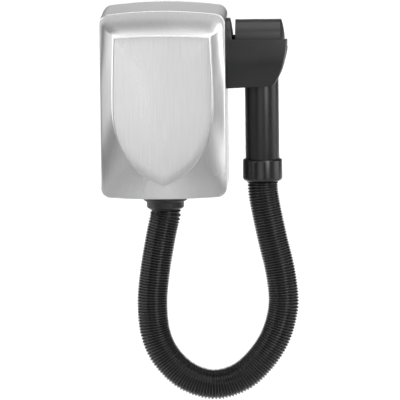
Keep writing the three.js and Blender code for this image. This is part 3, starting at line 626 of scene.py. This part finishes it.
def smooth_route(route, steps):
    """A centripetal Catmull-Rom curve through the route's points."""
    points = [Vector(p) for p in route]
    first = points[0] * 2 - points[1]
    last = points[-1] * 2 - points[-2]
    padded = [first, *points, last]
    result = []
    for i in range(1, len(padded) - 2):
        p0, p1, p2, p3 = padded[i - 1:i + 3]
        t0 = 0.0
        t1 = t0 + (p1 - p0).length ** 0.5
        t2 = t1 + (p2 - p1).length ** 0.5
        t3 = t2 + (p3 - p2).length ** 0.5
        for k in range(steps):
            t = t1 + (t2 - t1) * k / steps
            a1 = p0 * ((t1 - t) / (t1 - t0)) + p1 * ((t - t0) / (t1 - t0))
            a2 = p1 * ((t2 - t) / (t2 - t1)) + p2 * ((t - t1) / (t2 - t1))
            a3 = p2 * ((t3 - t) / (t3 - t2)) + p3 * ((t - t2) / (t3 - t2))
            b1 = a1 * ((t2 - t) / (t2 - t0)) + a2 * ((t - t0) / (t2 - t0))
            b2 = a2 * ((t3 - t) / (t3 - t1)) + a3 * ((t - t1) / (t3 - t1))
            result.append(tuple(b1 * ((t2 - t) / (t2 - t1)) + b2 * ((t - t1) / (t2 - t1))))
    result.append(tuple(points[-1]))
    return result


def node_group(name, inputs):
    """A geometry node group with its inputs, and the node that hands them on."""
    tree = bpy.data.node_groups.new(name, "GeometryNodeTree")
    for label, kind, value in (("Geometry", "Geometry", None), *inputs):
        socket = tree.interface.new_socket(name=label, in_out="INPUT", socket_type="NodeSocket" + kind)
        if value is not None:
            socket.default_value = value
    tree.interface.new_socket(name="Geometry", in_out="OUTPUT", socket_type="NodeSocketGeometry")
    return tree, tree.nodes.new("NodeGroupInput")


def math_node(tree, operation, *values):
    """One calculation on numbers or on other nodes' results."""
    node = tree.nodes.new("ShaderNodeMath")
    node.operation = operation
    for socket, value in zip(node.inputs, values):
        if isinstance(value, (int, float)):
            socket.default_value = value
        else:
            tree.links.new(value, socket)
    return node.outputs[0]


def paint_result(tree, result, material):
    """Turns copies into one mesh with one material, and ends the group with it."""
    nodes, links = tree.nodes, tree.links
    realize = nodes.new("GeometryNodeRealizeInstances")
    paint = nodes.new("GeometryNodeSetMaterial")
    paint.inputs["Material"].default_value = material
    target = nodes.new("NodeGroupOutput")
    links.new(result, realize.inputs["Geometry"])
    links.new(realize.outputs["Geometry"], paint.inputs["Geometry"])
    links.new(paint.outputs["Geometry"], target.inputs["Geometry"])


def run_group(piece, tree, values):
    """The mesh that a node group makes of an object with these input values; the object is removed."""
    modifier = piece.modifiers.new(tree.name, "NODES")
    modifier.node_group = tree
    for item in tree.interface.items_tree:
        if item.item_type == "SOCKET" and item.in_out == "INPUT" and item.name in values:
            modifier[item.identifier] = values[item.name]
    mesh = evaluated_mesh(piece)
    bpy.data.objects.remove(piece)
    return mesh


def ribbed_tube_tree(material):
    """A node group that sweeps a ribbed round section along a curve."""
    tree, source = node_group("ribbed_tube", (
        ("Diameter", "Float", 0.04), ("Pitch", "Float", 0.0035), ("Depth", "Float", 0.0024),
        ("Sides", "Int", 40), ("Rings", "Int", 1200)))
    nodes, links = tree.nodes, tree.links
    resample = nodes.new("GeometryNodeResampleCurve")
    links.new(source.outputs["Geometry"], resample.inputs["Curve"])
    links.new(source.outputs["Rings"], resample.inputs["Count"])
    parameter = nodes.new("GeometryNodeSplineParameter")
    turns = math_node(tree, "DIVIDE", parameter.outputs["Length"], source.outputs["Pitch"])
    wave = math_node(tree, "COSINE", math_node(tree, "MULTIPLY", turns, 2 * math.pi))
    groove = math_node(tree, "MULTIPLY", math_node(tree, "SUBTRACT", 1.0, wave), 0.5)
    shaped = math_node(tree, "POWER", groove, GROOVE_POWER)
    cut = math_node(tree, "MULTIPLY", shaped, source.outputs["Depth"])
    half = math_node(tree, "MULTIPLY", source.outputs["Diameter"], 0.5)
    section = nodes.new("GeometryNodeCurvePrimitiveCircle")
    links.new(source.outputs["Sides"], section.inputs["Resolution"])
    section.inputs["Radius"].default_value = 1.0
    sweep = nodes.new("GeometryNodeCurveToMesh")
    links.new(resample.outputs["Curve"], sweep.inputs["Curve"])
    links.new(section.outputs["Curve"], sweep.inputs["Profile Curve"])
    sweep.inputs["Fill Caps"].default_value = True
    links.new(math_node(tree, "SUBTRACT", half, cut), sweep.inputs["Scale"])
    paint_result(tree, sweep.outputs["Mesh"], material)
    return tree


def path_length(points):
    """The length of a line through points."""
    return sum((Vector(b) - Vector(a)).length for a, b in zip(points, points[1:]))


class DRYER_OT_hose(bpy.types.Operator):
    """Sweeps the ribbed hose from the socket to the cuff"""

    bl_idname = "dryer.hose"
    bl_label = "Hose"

    def execute(self, context):
        shape = context.scene.dryer_shape
        curve, path = hose_curve()
        length = path_length(path)
        mesh = run_group(curve, ribbed_tube_tree(finish_of("soft_black")), {
            "Diameter": shape.hose_diameter, "Pitch": shape.rib_pitch, "Depth": shape.rib_depth,
            "Sides": shape.hose_sides, "Rings": int(length / shape.rib_pitch * RINGS_PER_RIB)})
        for polygon in mesh.polygons:
            polygon.use_smooth = True
        hose = link_mesh("ribbed_hose", mesh, "soft_black")
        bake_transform(hose)
        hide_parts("hose")
        return {"FINISHED"}


# -------------------- case cover

CASE = {
    "half_width": 81.4 * MM, "top": 121 * MM, "top_sag": 4.2 * MM, "bottom": -124 * MM,
    "bottom_sag": 2.2 * MM, "corner": 13 * MM, "depth": 99.4 * MM, "roll": 1.6 * MM,
    "rear_rise": 3.5 * MM, "sheet": 1.5 * MM,
}
SHIELD = {
    "half_width": 66 * MM, "top": 88 * MM, "arch": 2.6 * MM, "corner_in": 2.5 * MM,
    "shoulder": -4 * MM, "tip": -107.5 * MM, "edge": 3.0 * MM, "hub": 10 * MM, "crown": 1.0 * MM,
}
FACET = {"start": 20 * MM, "span": 70 * MM, "flat": 1.06, "dish": 0.46}
TOP_POINTS = 44
SIDE_POINTS = 130
ROLL_STEPS = 6
FACET_STEPS = 20
EDGE_STEPS = 8
FACE_STEPS = 8


def quadratic(a, b, c, steps):
    """A curve from a to c that leans towards b."""
    a, b, c = Vector(a), Vector(b), Vector(c)
    result = []
    for i in range(steps + 1):
        t = i / steps
        result.append(a * (1 - t) ** 2 + b * 2 * t * (1 - t) + c * t * t)
    return result


def cubic(a, b, c, d, steps):
    """A curve from a to d that leans towards b and then c."""
    a, b, c, d = Vector(a), Vector(b), Vector(c), Vector(d)
    result = []
    for i in range(steps + 1):
        t = i / steps
        u = 1 - t
        result.append(a * u ** 3 + b * 3 * u * u * t + c * 3 * u * t * t + d * t ** 3)
    return result


def arc(center, radius, start, end, steps):
    """Part of a circle between two angles in degrees."""
    result = []
    for i in range(steps + 1):
        a = math.radians(start + (end - start) * i / steps)
        result.append(Vector((center[0] + radius * math.cos(a), center[1] + radius * math.sin(a))))
    return result


def spaced(points, count):
    """The same line with evenly spaced points."""
    lengths = [0.0]
    for a, b in zip(points, points[1:]):
        lengths.append(lengths[-1] + (b - a).length)
    result = []
    k = 0
    for i in range(count + 1):
        want = lengths[-1] * i / count
        while k < len(points) - 2 and lengths[k + 1] < want:
            k += 1
        span = lengths[k + 1] - lengths[k]
        t = 0.0 if span < 1e-12 else min(1.0, (want - lengths[k]) / span)
        result.append(points[k].lerp(points[k + 1], t))
    return result


def mirrored_loop(crown, flank):
    """One closed loop from the right half of its top and its right side."""
    right = spaced(crown, TOP_POINTS) + spaced(flank, SIDE_POINTS)[1:]
    left = [Vector((-p.x, p.y)) for p in reversed(right[1:-1])]
    return right + left


def case_loop(inset, rise=0.0):
    """The case's outline drawn in by an inset, with its top raised."""
    w = CASE["half_width"] - inset
    top = CASE["top"] - inset + rise
    shoulder = top - CASE["top_sag"]
    bottom = CASE["bottom"] + inset
    heel = bottom + CASE["bottom_sag"]
    r = CASE["corner"] - inset
    crown = quadratic((0, top), ((w - r) / 2, top), (w - r, shoulder), 40)
    crown += arc((w - r, shoulder - r), r, 90, 0, 24)[1:]
    flank = [Vector((w, shoulder - r)), Vector((w, heel + r))]
    flank += arc((w - r, heel + r), r, 0, -90, 24)[1:]
    flank += quadratic((w - r, heel), ((w - r) / 2, bottom), (0, bottom), 40)[1:]
    return mirrored_loop(crown, flank)


def shield_loop(inset):
    """The shield's outline drawn in by an inset."""
    w = SHIELD["half_width"] - inset
    top = SHIELD["top"] - inset
    corner = w - SHIELD["corner_in"]
    arch = top + SHIELD["arch"]
    shoulder = SHIELD["shoulder"]
    crown = quadratic((0, arch), (corner / 2, arch), (corner, top), 40)
    flank = quadratic((corner, top), (w, (top + shoulder) / 2), (w, shoulder), 40)
    flank += cubic((w, shoulder), (w, shoulder - 56 * MM), (w * 0.515, SHIELD["tip"] + 12 * MM),
                   (0, SHIELD["tip"] + inset * 1.2), 80)[1:]
    return mirrored_loop(crown, flank)


def ring_at(loop, y):
    """A loop's points at one depth."""
    return [(p.x, y, p.y) for p in loop]


def mixed(a, b, t):
    """A loop part of the way from one loop to another."""
    return [p.lerp(q, t) for p, q in zip(a, b)]


def facet_power(z):
    """How hollow the facet round the shield is: dished above it, nearly flat below it."""
    t = min(1.0, max(0.0, (z - FACET["start"]) / FACET["span"]))
    return FACET["flat"] + FACET["dish"] * t * t * (3 - 2 * t)


def cover_rings(inset, rise):
    """The rings of one skin of the cover, from its rear edge to the middle of the shield."""
    rim = -CASE["depth"]
    roll = CASE["roll"] - inset
    edge = SHIELD["edge"]
    rings = [ring_at(case_loop(inset, CASE["rear_rise"]), -GAP)]
    for t in (0.25, 0.5, 0.75):
        rings.append(ring_at(case_loop(inset, CASE["rear_rise"] * (1 - t)), -GAP + (rim + GAP) * t))
    for i in range(ROLL_STEPS + 1):
        angle = math.pi / 2 * i / ROLL_STEPS
        rings.append(ring_at(case_loop(inset + roll * (1 - math.cos(angle))), rim - roll * math.sin(angle)))
    outer = case_loop(max(CASE["roll"], inset))
    foot = shield_loop(inset)
    front = rim - CASE["roll"] + inset
    for i in range(1, FACET_STEPS):
        t = i / FACET_STEPS
        loop = mixed(outer, foot, t)
        rings.append([(p.x, front - (rise - edge) * t ** facet_power(p.y), p.y) for p in loop])
    for i in range(EDGE_STEPS + 1):
        angle = math.pi / 2 * i / EDGE_STEPS
        rings.append(ring_at(shield_loop(inset + edge * (1 - math.cos(angle))),
                             front - rise + edge * (1 - math.sin(angle))))
    face = shield_loop(inset + edge)
    hub = [Vector((0, SHIELD["hub"])) for _ in face]
    for i in range(1, FACE_STEPS):
        t = i / FACE_STEPS
        rings.append(ring_at(mixed(face, hub, t), front - rise - SHIELD["crown"] * (1 - (1 - t) ** 2)))
    return rings


def cover_mesh(rise):
    """The cover's outer skin, rear edge and inner skin as one closed sheet."""
    outside = cover_rings(0.0, rise)
    inside = cover_rings(CASE["sheet"], rise)
    rings = list(reversed(outside)) + inside
    shell = bmesh.new()
    rows = [[shell.verts.new(p) for p in ring] for ring in rings]
    count = len(rows[0])
    for upper, lower in zip(rows, rows[1:]):
        for i in range(count):
            j = (i + 1) % count
            shell.faces.new((upper[i], upper[j], lower[j], lower[i]))
    front = -CASE["depth"] - CASE["roll"] - rise - SHIELD["crown"]
    for row, y in ((rows[0], front), (rows[-1], front + CASE["sheet"])):
        hub = shell.verts.new((0, y, SHIELD["hub"]))
        for i in range(count):
            shell.faces.new((row[i], row[(i + 1) % count], hub))
    return solid_mesh("case_cover", shell)


VENTS = {"count": 6, "pitch": 6 * MM, "width": 3.2 * MM, "first": 35 * MM, "y": (-86 * MM, -34 * MM)}
SOCKET_RING = 24.3 * MM
SCREW = {"x": 55 * MM, "y": -12 * MM, "hole": 2.3 * MM}


def slot_outline(x, y0, y1, width):
    """A long slot with round ends, in plan."""
    r = width / 2
    outline = [(x + r * math.cos(a), y1 - r + r * math.sin(a)) for a in (math.pi * i / 8 for i in range(9))]
    outline += [(x + r * math.cos(a), y0 + r + r * math.sin(a))
                for a in (math.pi + math.pi * i / 8 for i in range(9))]
    return outline


def cut_bottom(piece):
    """Cuts the vents, the screw holes and the socket's hole into the case bottom."""
    low, high = CASE["bottom"] - 5 * MM, CASE["bottom"] + 8 * MM
    outlines = [circle_outline((0, AXIS_Y), SOCKET_RING + GAP, 64)]
    for side in (-1, 1):
        for i in range(VENTS["count"]):
            x = side * (VENTS["first"] + i * VENTS["pitch"])
            outlines.append(slot_outline(x, *VENTS["y"], VENTS["width"]))
        outlines.append(circle_outline((side * SCREW["x"], SCREW["y"]), SCREW["hole"], 24))
    combine(piece, prisms("cut", outlines, "XY", low, high), "DIFFERENCE")


class DRYER_OT_cover(bpy.types.Operator):
    """Makes the brushed steel cover with its raised shield"""

    bl_idname = "dryer.cover"
    bl_label = "Cover"

    def execute(self, context):
        cover = link_mesh("case_cover", cover_mesh(context.scene.dryer_shape.shield_rise), "steel")
        cut_bottom(cover)
        smooth_by_angle(cover.data, 32)
        place(cover, "base", "steel", "cover")
        return {"FINISHED"}


# -------------------- socket

class DRYER_OT_socket(bpy.types.Operator):
    """Turns the hose socket under the case"""

    bl_idname = "dryer.socket"
    bl_label = "Hose Socket"

    def execute(self, context):
        ring = SOCKET_RING
        flange = (SOCKET_HIGH.x - SOCKET_LOW.x) / 2
        seat = CASE["bottom"] - GAP
        foot = SOCKET_LOW.z
        profile = [
            (HOSE_BORE, SOCKET_HIGH.z), (HOSE_BORE, foot + SEAT_DEPTH), (HOSE_SEAT, foot + SEAT_DEPTH),
            (HOSE_SEAT, foot),
            (ring - 2.6 * MM, foot), (ring, foot + 2.2 * MM), (ring, seat - 6.8 * MM),
            (flange - 1.6 * MM, seat - 5.8 * MM), (flange, seat - 4.2 * MM), (flange, seat), (ring, seat),
            (ring, SOCKET_HIGH.z),
        ]
        radii = [0, 0, 0, 0.3 * MM, 0.6 * MM, 0.6 * MM, 1.2 * MM, 0.6 * MM, 0.6 * MM, 0.3 * MM, 0, 0]
        piece = lathe("socket_ring", rounded(profile, radii), (0, AXIS_Y, 0), "Z", "black_plastic")
        place(piece, "base", "black_plastic", "hose_socket")
        return {"FINISHED"}


# -------------------- cradle

CRADLE = {
    "rim": 82 * MM, "bottom": 18 * MM, "bottom_rise": 3.4 * MM, "half_depth": 36 * MM, "break": 52 * MM,
    "lean": 8 * MM, "soften": 8 * MM, "wall": 2.6 * MM, "end": 158.8 * MM, "bow": 4.2 * MM,
    "end_length": 38.5 * MM, "end_height": 70 * MM, "floor": 42.5 * MM, "slot": 23.6 * MM,
    "upstand": 32 * MM, "corner_drop": 14 * MM, "switch_x": 98 * MM, "switch_hole": 3.3 * MM,
}
# How far the cutting solids reach, past the cradle in X and past the case in Y.
CRADLE_SPAN = (0.04, 0.22)
CASE_SPAN = (-0.12, 0.0)


def cradle_half_depth(z):
    """Half the cradle's depth at a height: straight walls that lean in lower down."""
    slope = CRADLE["lean"] / (CRADLE["break"] - CRADLE["bottom"])
    soft = CRADLE["soften"]
    if z < CRADLE["break"] - soft:
        return CRADLE["half_depth"] - slope * (CRADLE["break"] - z)
    blend = min(1.0, (z - CRADLE["break"] + soft) / (2 * soft))
    return CRADLE["half_depth"] - slope * soft * (1 - blend) ** 2


def cradle_block(name, inset, low, high):
    """A solid with the cradle's outer surface, drawn in by an inset."""
    rim = CRADLE["rim"]
    layers, steps = 36, 20
    half = CRADLE["half_depth"] + 1 * MM
    start = min(high, rim)
    heights = [start - (start - low) * i / layers for i in range(layers + 1)]
    if high > rim:
        heights.insert(0, high)
    shell = bmesh.new()
    rows = []
    for z in heights:
        s = min(1.0, max(0.0, (rim - z) / CRADLE["end_height"]))
        end = CRADLE["end"] - inset - CRADLE["end_length"] * (1 - math.sqrt(1 - s * s))
        row = [shell.verts.new((CRADLE_LEFT, AXIS_Y - half, z))]
        for i in range(steps + 1):
            v = -1 + 2 * i / steps
            row.append(shell.verts.new((end + CRADLE["bow"] * (1 - v * v), AXIS_Y + half * v, z)))
        row.append(shell.verts.new((CRADLE_LEFT, AXIS_Y + half, z)))
        rows.append(row)
    for upper, lower in zip(rows, rows[1:]):
        wall_between(shell, upper, lower)
    shell.faces.new(rows[0])
    shell.faces.new(list(reversed(rows[-1])))
    block = new_object(name, solid_mesh(name, shell))
    levels = [low] + [CRADLE["break"] + CRADLE["soften"] * (i / 6 - 1) for i in range(13)] + [high]
    right = [(AXIS_Y + cradle_half_depth(z) - inset, z) for z in levels if low <= z <= high]
    left = [(2 * AXIS_Y - y, z) for y, z in reversed(right)]
    return combine(block, prism("section", right + left, "YZ", *CRADLE_SPAN), "INTERSECT")


def cradle_body():
    """The cradle's shell with its upstand, the handle's slot, the lower rear corner and the switch hole."""
    rim, bottom, wall = CRADLE["rim"], CRADLE["bottom"], CRADLE["wall"]
    left = CRADLE_LEFT
    body = cradle_block("cradle_shell", 0.0, bottom, rim)
    wedge = [(left - 2 * MM, bottom - 6 * MM), (0.18, bottom - 6 * MM),
             (0.18, bottom + CRADLE["bottom_rise"] * 1.3), (left - 2 * MM, bottom)]
    combine(body, prism("wedge", wedge, "XZ", *CASE_SPAN), "DIFFERENCE")
    keep = left + 5.5 * MM
    for inset, low, high in ((wall, CRADLE["floor"], rim + 20 * MM),
                             (wall, bottom - 12 * MM, CRADLE["floor"] - wall)):
        hollow = cradle_block("hollow", inset, low, high)
        guard = prism("guard", rectangle(0.06, keep, -0.02, 0.2), "XZ", *CASE_SPAN)
        combine(hollow, guard, "DIFFERENCE")
        combine(body, hollow, "DIFFERENCE")
    rise = [(left, rim - 6 * MM), (left + 8.2 * MM, rim - 6 * MM), (left + 7.8 * MM, rim + 3 * MM),
            (left + 4.4 * MM, rim + 30 * MM), (left, rim + 30 * MM)]
    upstand = prism("upstand", rise, "XZ", AXIS_Y - 40 * MM, AXIS_Y + 40 * MM)
    disc = prism("disc", circle_outline((AXIS_Y, HEAD_Z - 0.5 * MM), CRADLE["upstand"], 96), "YZ",
                 left - 5 * MM, left + 20 * MM)
    combine(upstand, disc, "INTERSECT")
    combine(body, upstand, "UNION")
    slot, floor_z, top = CRADLE["slot"], CRADLE["floor"], 0.13
    channel = rectangle(HANDLE_X, HANDLE_X + 0.08, AXIS_Y - slot, AXIS_Y + slot)
    corner = rectangle(0.140, 0.2, AXIS_Y, AXIS_Y + 0.06)
    hole = circle_outline((CRADLE["switch_x"], AXIS_Y), CRADLE["switch_hole"], 32)
    for name, outline, low, high in (
            ("slot", circle_outline((HANDLE_X, AXIS_Y), slot, 72), 0.0, top),
            ("channel", channel, 0.0, top),
            ("corner", corner, rim - CRADLE["corner_drop"], top),
            ("hole", hole, floor_z - 10 * MM, floor_z + 10 * MM)):
        combine(body, prism(name, outline, "XY", low, high), "DIFFERENCE")
    return body


class DRYER_OT_cradle(bpy.types.Operator):
    """Moulds the cradle that holds the handset's head"""

    bl_idname = "dryer.cradle"
    bl_label = "Cradle"

    def execute(self, context):
        body = cradle_body()
        soften_edges(body, context.scene.dryer_shape.edge_round)
        repaint(body, "black_plastic")
        place(body, "base", "black_plastic", "cradle")
        return {"FINISHED"}


# -------------------- handset

TURN_SIDES = 128


class DRYER_OT_head(bpy.types.Operator):
    """Makes the barrel, its domed end and its outlet ring"""

    bl_idname = "dryer.head"
    bl_label = "Handset Head"

    def execute(self, context):
        center = (0, AXIS_Y, HEAD_Z)
        wall = 2.5 * MM
        left, right = HEAD_LOW.x, HEAD_HIGH.x
        outside = HEAD_RADIUS
        profile = [(outside, left), (outside, right), (outside - wall, right), (outside - wall, left)]
        barrel = lathe("barrel", rounded(profile, [0.7 * MM, 0.5 * MM, 0, 0.3 * MM]), center, "X",
                       "black_plastic", segments=TURN_SIDES)
        hole = prism("hole", circle_outline((HANDLE_X, AXIS_Y), TUBE_HIGH.x - HANDLE_X + GAP, 96), "XY",
                     0.0, HEAD_Z)
        combine(barrel, hole, "DIFFERENCE")
        smooth_by_angle(barrel.data, 30)
        place(barrel, "handset", "black_plastic", "head_shell")
        self.end_cap(center, outside, wall, right + GAP)
        self.outlet_ring(center, outside - wall - GAP, left)
        return {"FINISHED"}

    def end_cap(self, center, outside, wall, start):
        """A shallow dome with a spigot inside the barrel."""
        rise = CAP_HIGH.x - start
        ball = (outside * outside + rise * rise) / (2 * rise)
        spigot = outside - wall - GAP
        profile = [(0, start - 3 * MM), (spigot, start - 3 * MM), (spigot, start),
                   (outside - 0.4 * MM, start), (outside, start + 0.3 * MM)]
        for i in range(1, 25):
            r = outside * (1 - i / 24)
            profile.append((r, CAP_HIGH.x - (ball - math.sqrt(ball * ball - r * r))))
        cap = lathe("domed_end", profile, center, "X", "black_plastic", segments=TURN_SIDES)
        place(cap, "handset", "black_plastic", "head_end_cap")

    def outlet_ring(self, center, outside, left):
        """The soft ring inside the barrel's open end."""
        profile = [(outside, left + 0.6 * MM), (outside, GRILLE_LOW.x - GAP),
                   (outside - 2.4 * MM, GRILLE_LOW.x - GAP), (outside - 2.4 * MM, left + 0.6 * MM)]
        ring = lathe("mouth_ring", rounded(profile, [0.5 * MM, 0, 0, 0.8 * MM]), center, "X", "soft_black")
        place(ring, "handset", "soft_black", "outlet_ring")


def slat_tree(material):
    """A node group that sets a row of upright bars side by side."""
    tree, source = node_group("slat_row", (
        ("Count", "Int", 7), ("Span", "Float", 0.04), ("Bar", "Vector", (0.003, 0.002, 0.05))))
    nodes, links = tree.nodes, tree.links
    line = nodes.new("GeometryNodeMeshLine")
    line.mode = "END_POINTS"
    links.new(source.outputs["Count"], line.inputs["Count"])
    half = math_node(tree, "MULTIPLY", source.outputs["Span"], 0.5)
    minus = math_node(tree, "MULTIPLY", half, -1.0)
    for amount, socket in ((minus, "Start Location"), (half, "Offset")):
        vector = nodes.new("ShaderNodeCombineXYZ")
        links.new(amount, vector.inputs["Y"])
        links.new(vector.outputs["Vector"], line.inputs[socket])
    bar = nodes.new("GeometryNodeMeshCube")
    links.new(source.outputs["Bar"], bar.inputs["Size"])
    copies = nodes.new("GeometryNodeInstanceOnPoints")
    links.new(line.outputs["Mesh"], copies.inputs["Points"])
    links.new(bar.outputs["Mesh"], copies.inputs["Instance"])
    paint_result(tree, copies.outputs["Instances"], material)
    return tree


class DRYER_OT_grille(bpy.types.Operator):
    """Sets the slats of the outlet grille in their frame"""

    bl_idname = "dryer.grille"
    bl_label = "Outlet Grille"

    def execute(self, context):
        shape = context.scene.dryer_shape
        middle_x = (GRILLE_LOW.x + GRILLE_HIGH.x) / 2
        outside = (GRILLE_HIGH.z - GRILLE_LOW.z) / 2
        inside = outside - 3.4 * MM
        profile = [(outside, GRILLE_LOW.x), (outside, GRILLE_HIGH.x), (inside, GRILLE_HIGH.x),
                   (inside, GRILLE_LOW.x)]
        grille = lathe("outlet_slats", rounded(profile, 0.4 * MM), (0, AXIS_Y, HEAD_Z), "X", "soft_black")
        bars = new_object("bars", bpy.data.meshes.new("bars"))
        mesh = run_group(bars, slat_tree(finish_of("soft_black")), {
            "Count": shape.slat_count, "Span": inside * 1.5,
            "Bar": (GRILLE_HIGH.x - GRILLE_LOW.x - 0.4 * MM, 2.0 * MM, outside * 2.2)})
        mesh.transform(Matrix.Translation((middle_x, AXIS_Y, HEAD_Z)))
        row = new_object("row", mesh)
        disc = prism("disc", circle_outline((AXIS_Y, HEAD_Z), inside + 1.2 * MM, 64), "YZ",
                     GRILLE_LOW.x - 5 * MM, GRILLE_HIGH.x + 5 * MM)
        combine(row, disc, "INTERSECT")
        combine(grille, row, "UNION")
        repaint(grille, "soft_black")
        smooth_by_angle(grille.data, 30)
        place(grille, "handset", "soft_black", "outlet_grille")
        return {"FINISHED"}


class DRYER_OT_handle(bpy.types.Operator):
    """Turns the handle tube and the hose cuff"""

    bl_idname = "dryer.handle"
    bl_label = "Handle and Cuff"

    def execute(self, context):
        center = (HANDLE_X, AXIS_Y, 0)
        radius = TUBE_HIGH.x - HANDLE_X
        bore = radius - 2.4 * MM
        tube = [(bore, TUBE_LOW.z), (radius, TUBE_LOW.z), (radius, TUBE_HIGH.z), (bore, TUBE_HIGH.z)]
        piece = lathe("grip_tube", rounded(tube, 0.4 * MM), center, "Z", "tube_black", segments=TURN_SIDES)
        place(piece, "handset", "black_plastic", "handle_tube")
        outside = CUFF_HIGH.x - HANDLE_X
        low, high = CUFF_LOW.z, CUFF_HIGH.z
        seat = TUBE_LOW.z - GAP
        profile = [
            (HOSE_BORE, low + SEAT_DEPTH), (HOSE_SEAT, low + SEAT_DEPTH), (HOSE_SEAT, low),
            (outside - 4.6 * MM, low), (outside - 1.0 * MM, low + 2.2 * MM), (outside, low + 4.4 * MM),
            (outside - 0.3 * MM, high - 1.8 * MM), (outside - 2.4 * MM, high), (radius + GAP, high),
            (radius + GAP, seat), (HOSE_BORE, seat),
        ]
        radii = [0, 0, 0.3 * MM, 0.5 * MM, 1.4 * MM, 1.6 * MM, 1.4 * MM, 0.6 * MM, 0.3 * MM, 0, 0]
        cuff = lathe("cuff_ring", rounded(profile, radii, 6), center, "Z", "soft_black",
                     segments=TURN_SIDES)
        place(cuff, "cuff", "soft_black", "hose_cuff")
        return {"FINISHED"}


# -------------------- CAD nodes that stay

class DRYER_OT_finishes(bpy.types.Operator):
    """Gives every CAD node that stays its own finish"""

    bl_idname = "dryer.finishes"
    bl_label = "Finishes"

    def execute(self, context):
        slots = {row["node"]: row["material_slot"] for row in frame["record"]["subparts"]}
        for name, node in frame["nodes"].items():
            repaint(node, slots[name])
        return {"FINISHED"}


# -------------------- panel and registration

OPERATORS = (
    DRYER_OT_stage, DRYER_OT_hose, DRYER_OT_finishes, DRYER_OT_cover, DRYER_OT_socket, DRYER_OT_cradle,
    DRYER_OT_head, DRYER_OT_grille, DRYER_OT_handle,
)


class DRYER_PT_panel(bpy.types.Panel):
    """Sizes, colours and the operators in the order they run"""

    bl_idname = "DRYER_PT_panel"
    bl_label = "Wall Hair Dryer"
    bl_space_type = "VIEW_3D"
    bl_region_type = "UI"
    bl_category = "Dryer"

    def draw(self, context):
        layout = self.layout
        for settings in (context.scene.dryer_shape, context.scene.dryer_finish):
            for name in settings.__annotations__:
                layout.prop(settings, name)
        for operator in OPERATORS:
            layout.operator(operator.bl_idname)


CLASSES = (DryerShape, DryerFinish, *OPERATORS, DRYER_PT_panel)


def register():
    for cls in CLASSES:
        bpy.utils.register_class(cls)
    bpy.types.Scene.dryer_shape = PointerProperty(type=DryerShape)
    bpy.types.Scene.dryer_finish = PointerProperty(type=DryerFinish)


def unregister():
    del bpy.types.Scene.dryer_finish
    del bpy.types.Scene.dryer_shape
    for cls in reversed(CLASSES):
        bpy.utils.unregister_class(cls)


def main():
    register()
    for operator in OPERATORS:
        group, name = operator.bl_idname.split(".")
        getattr(getattr(bpy.ops, group), name)()


if __name__ == "__main__":
    main()
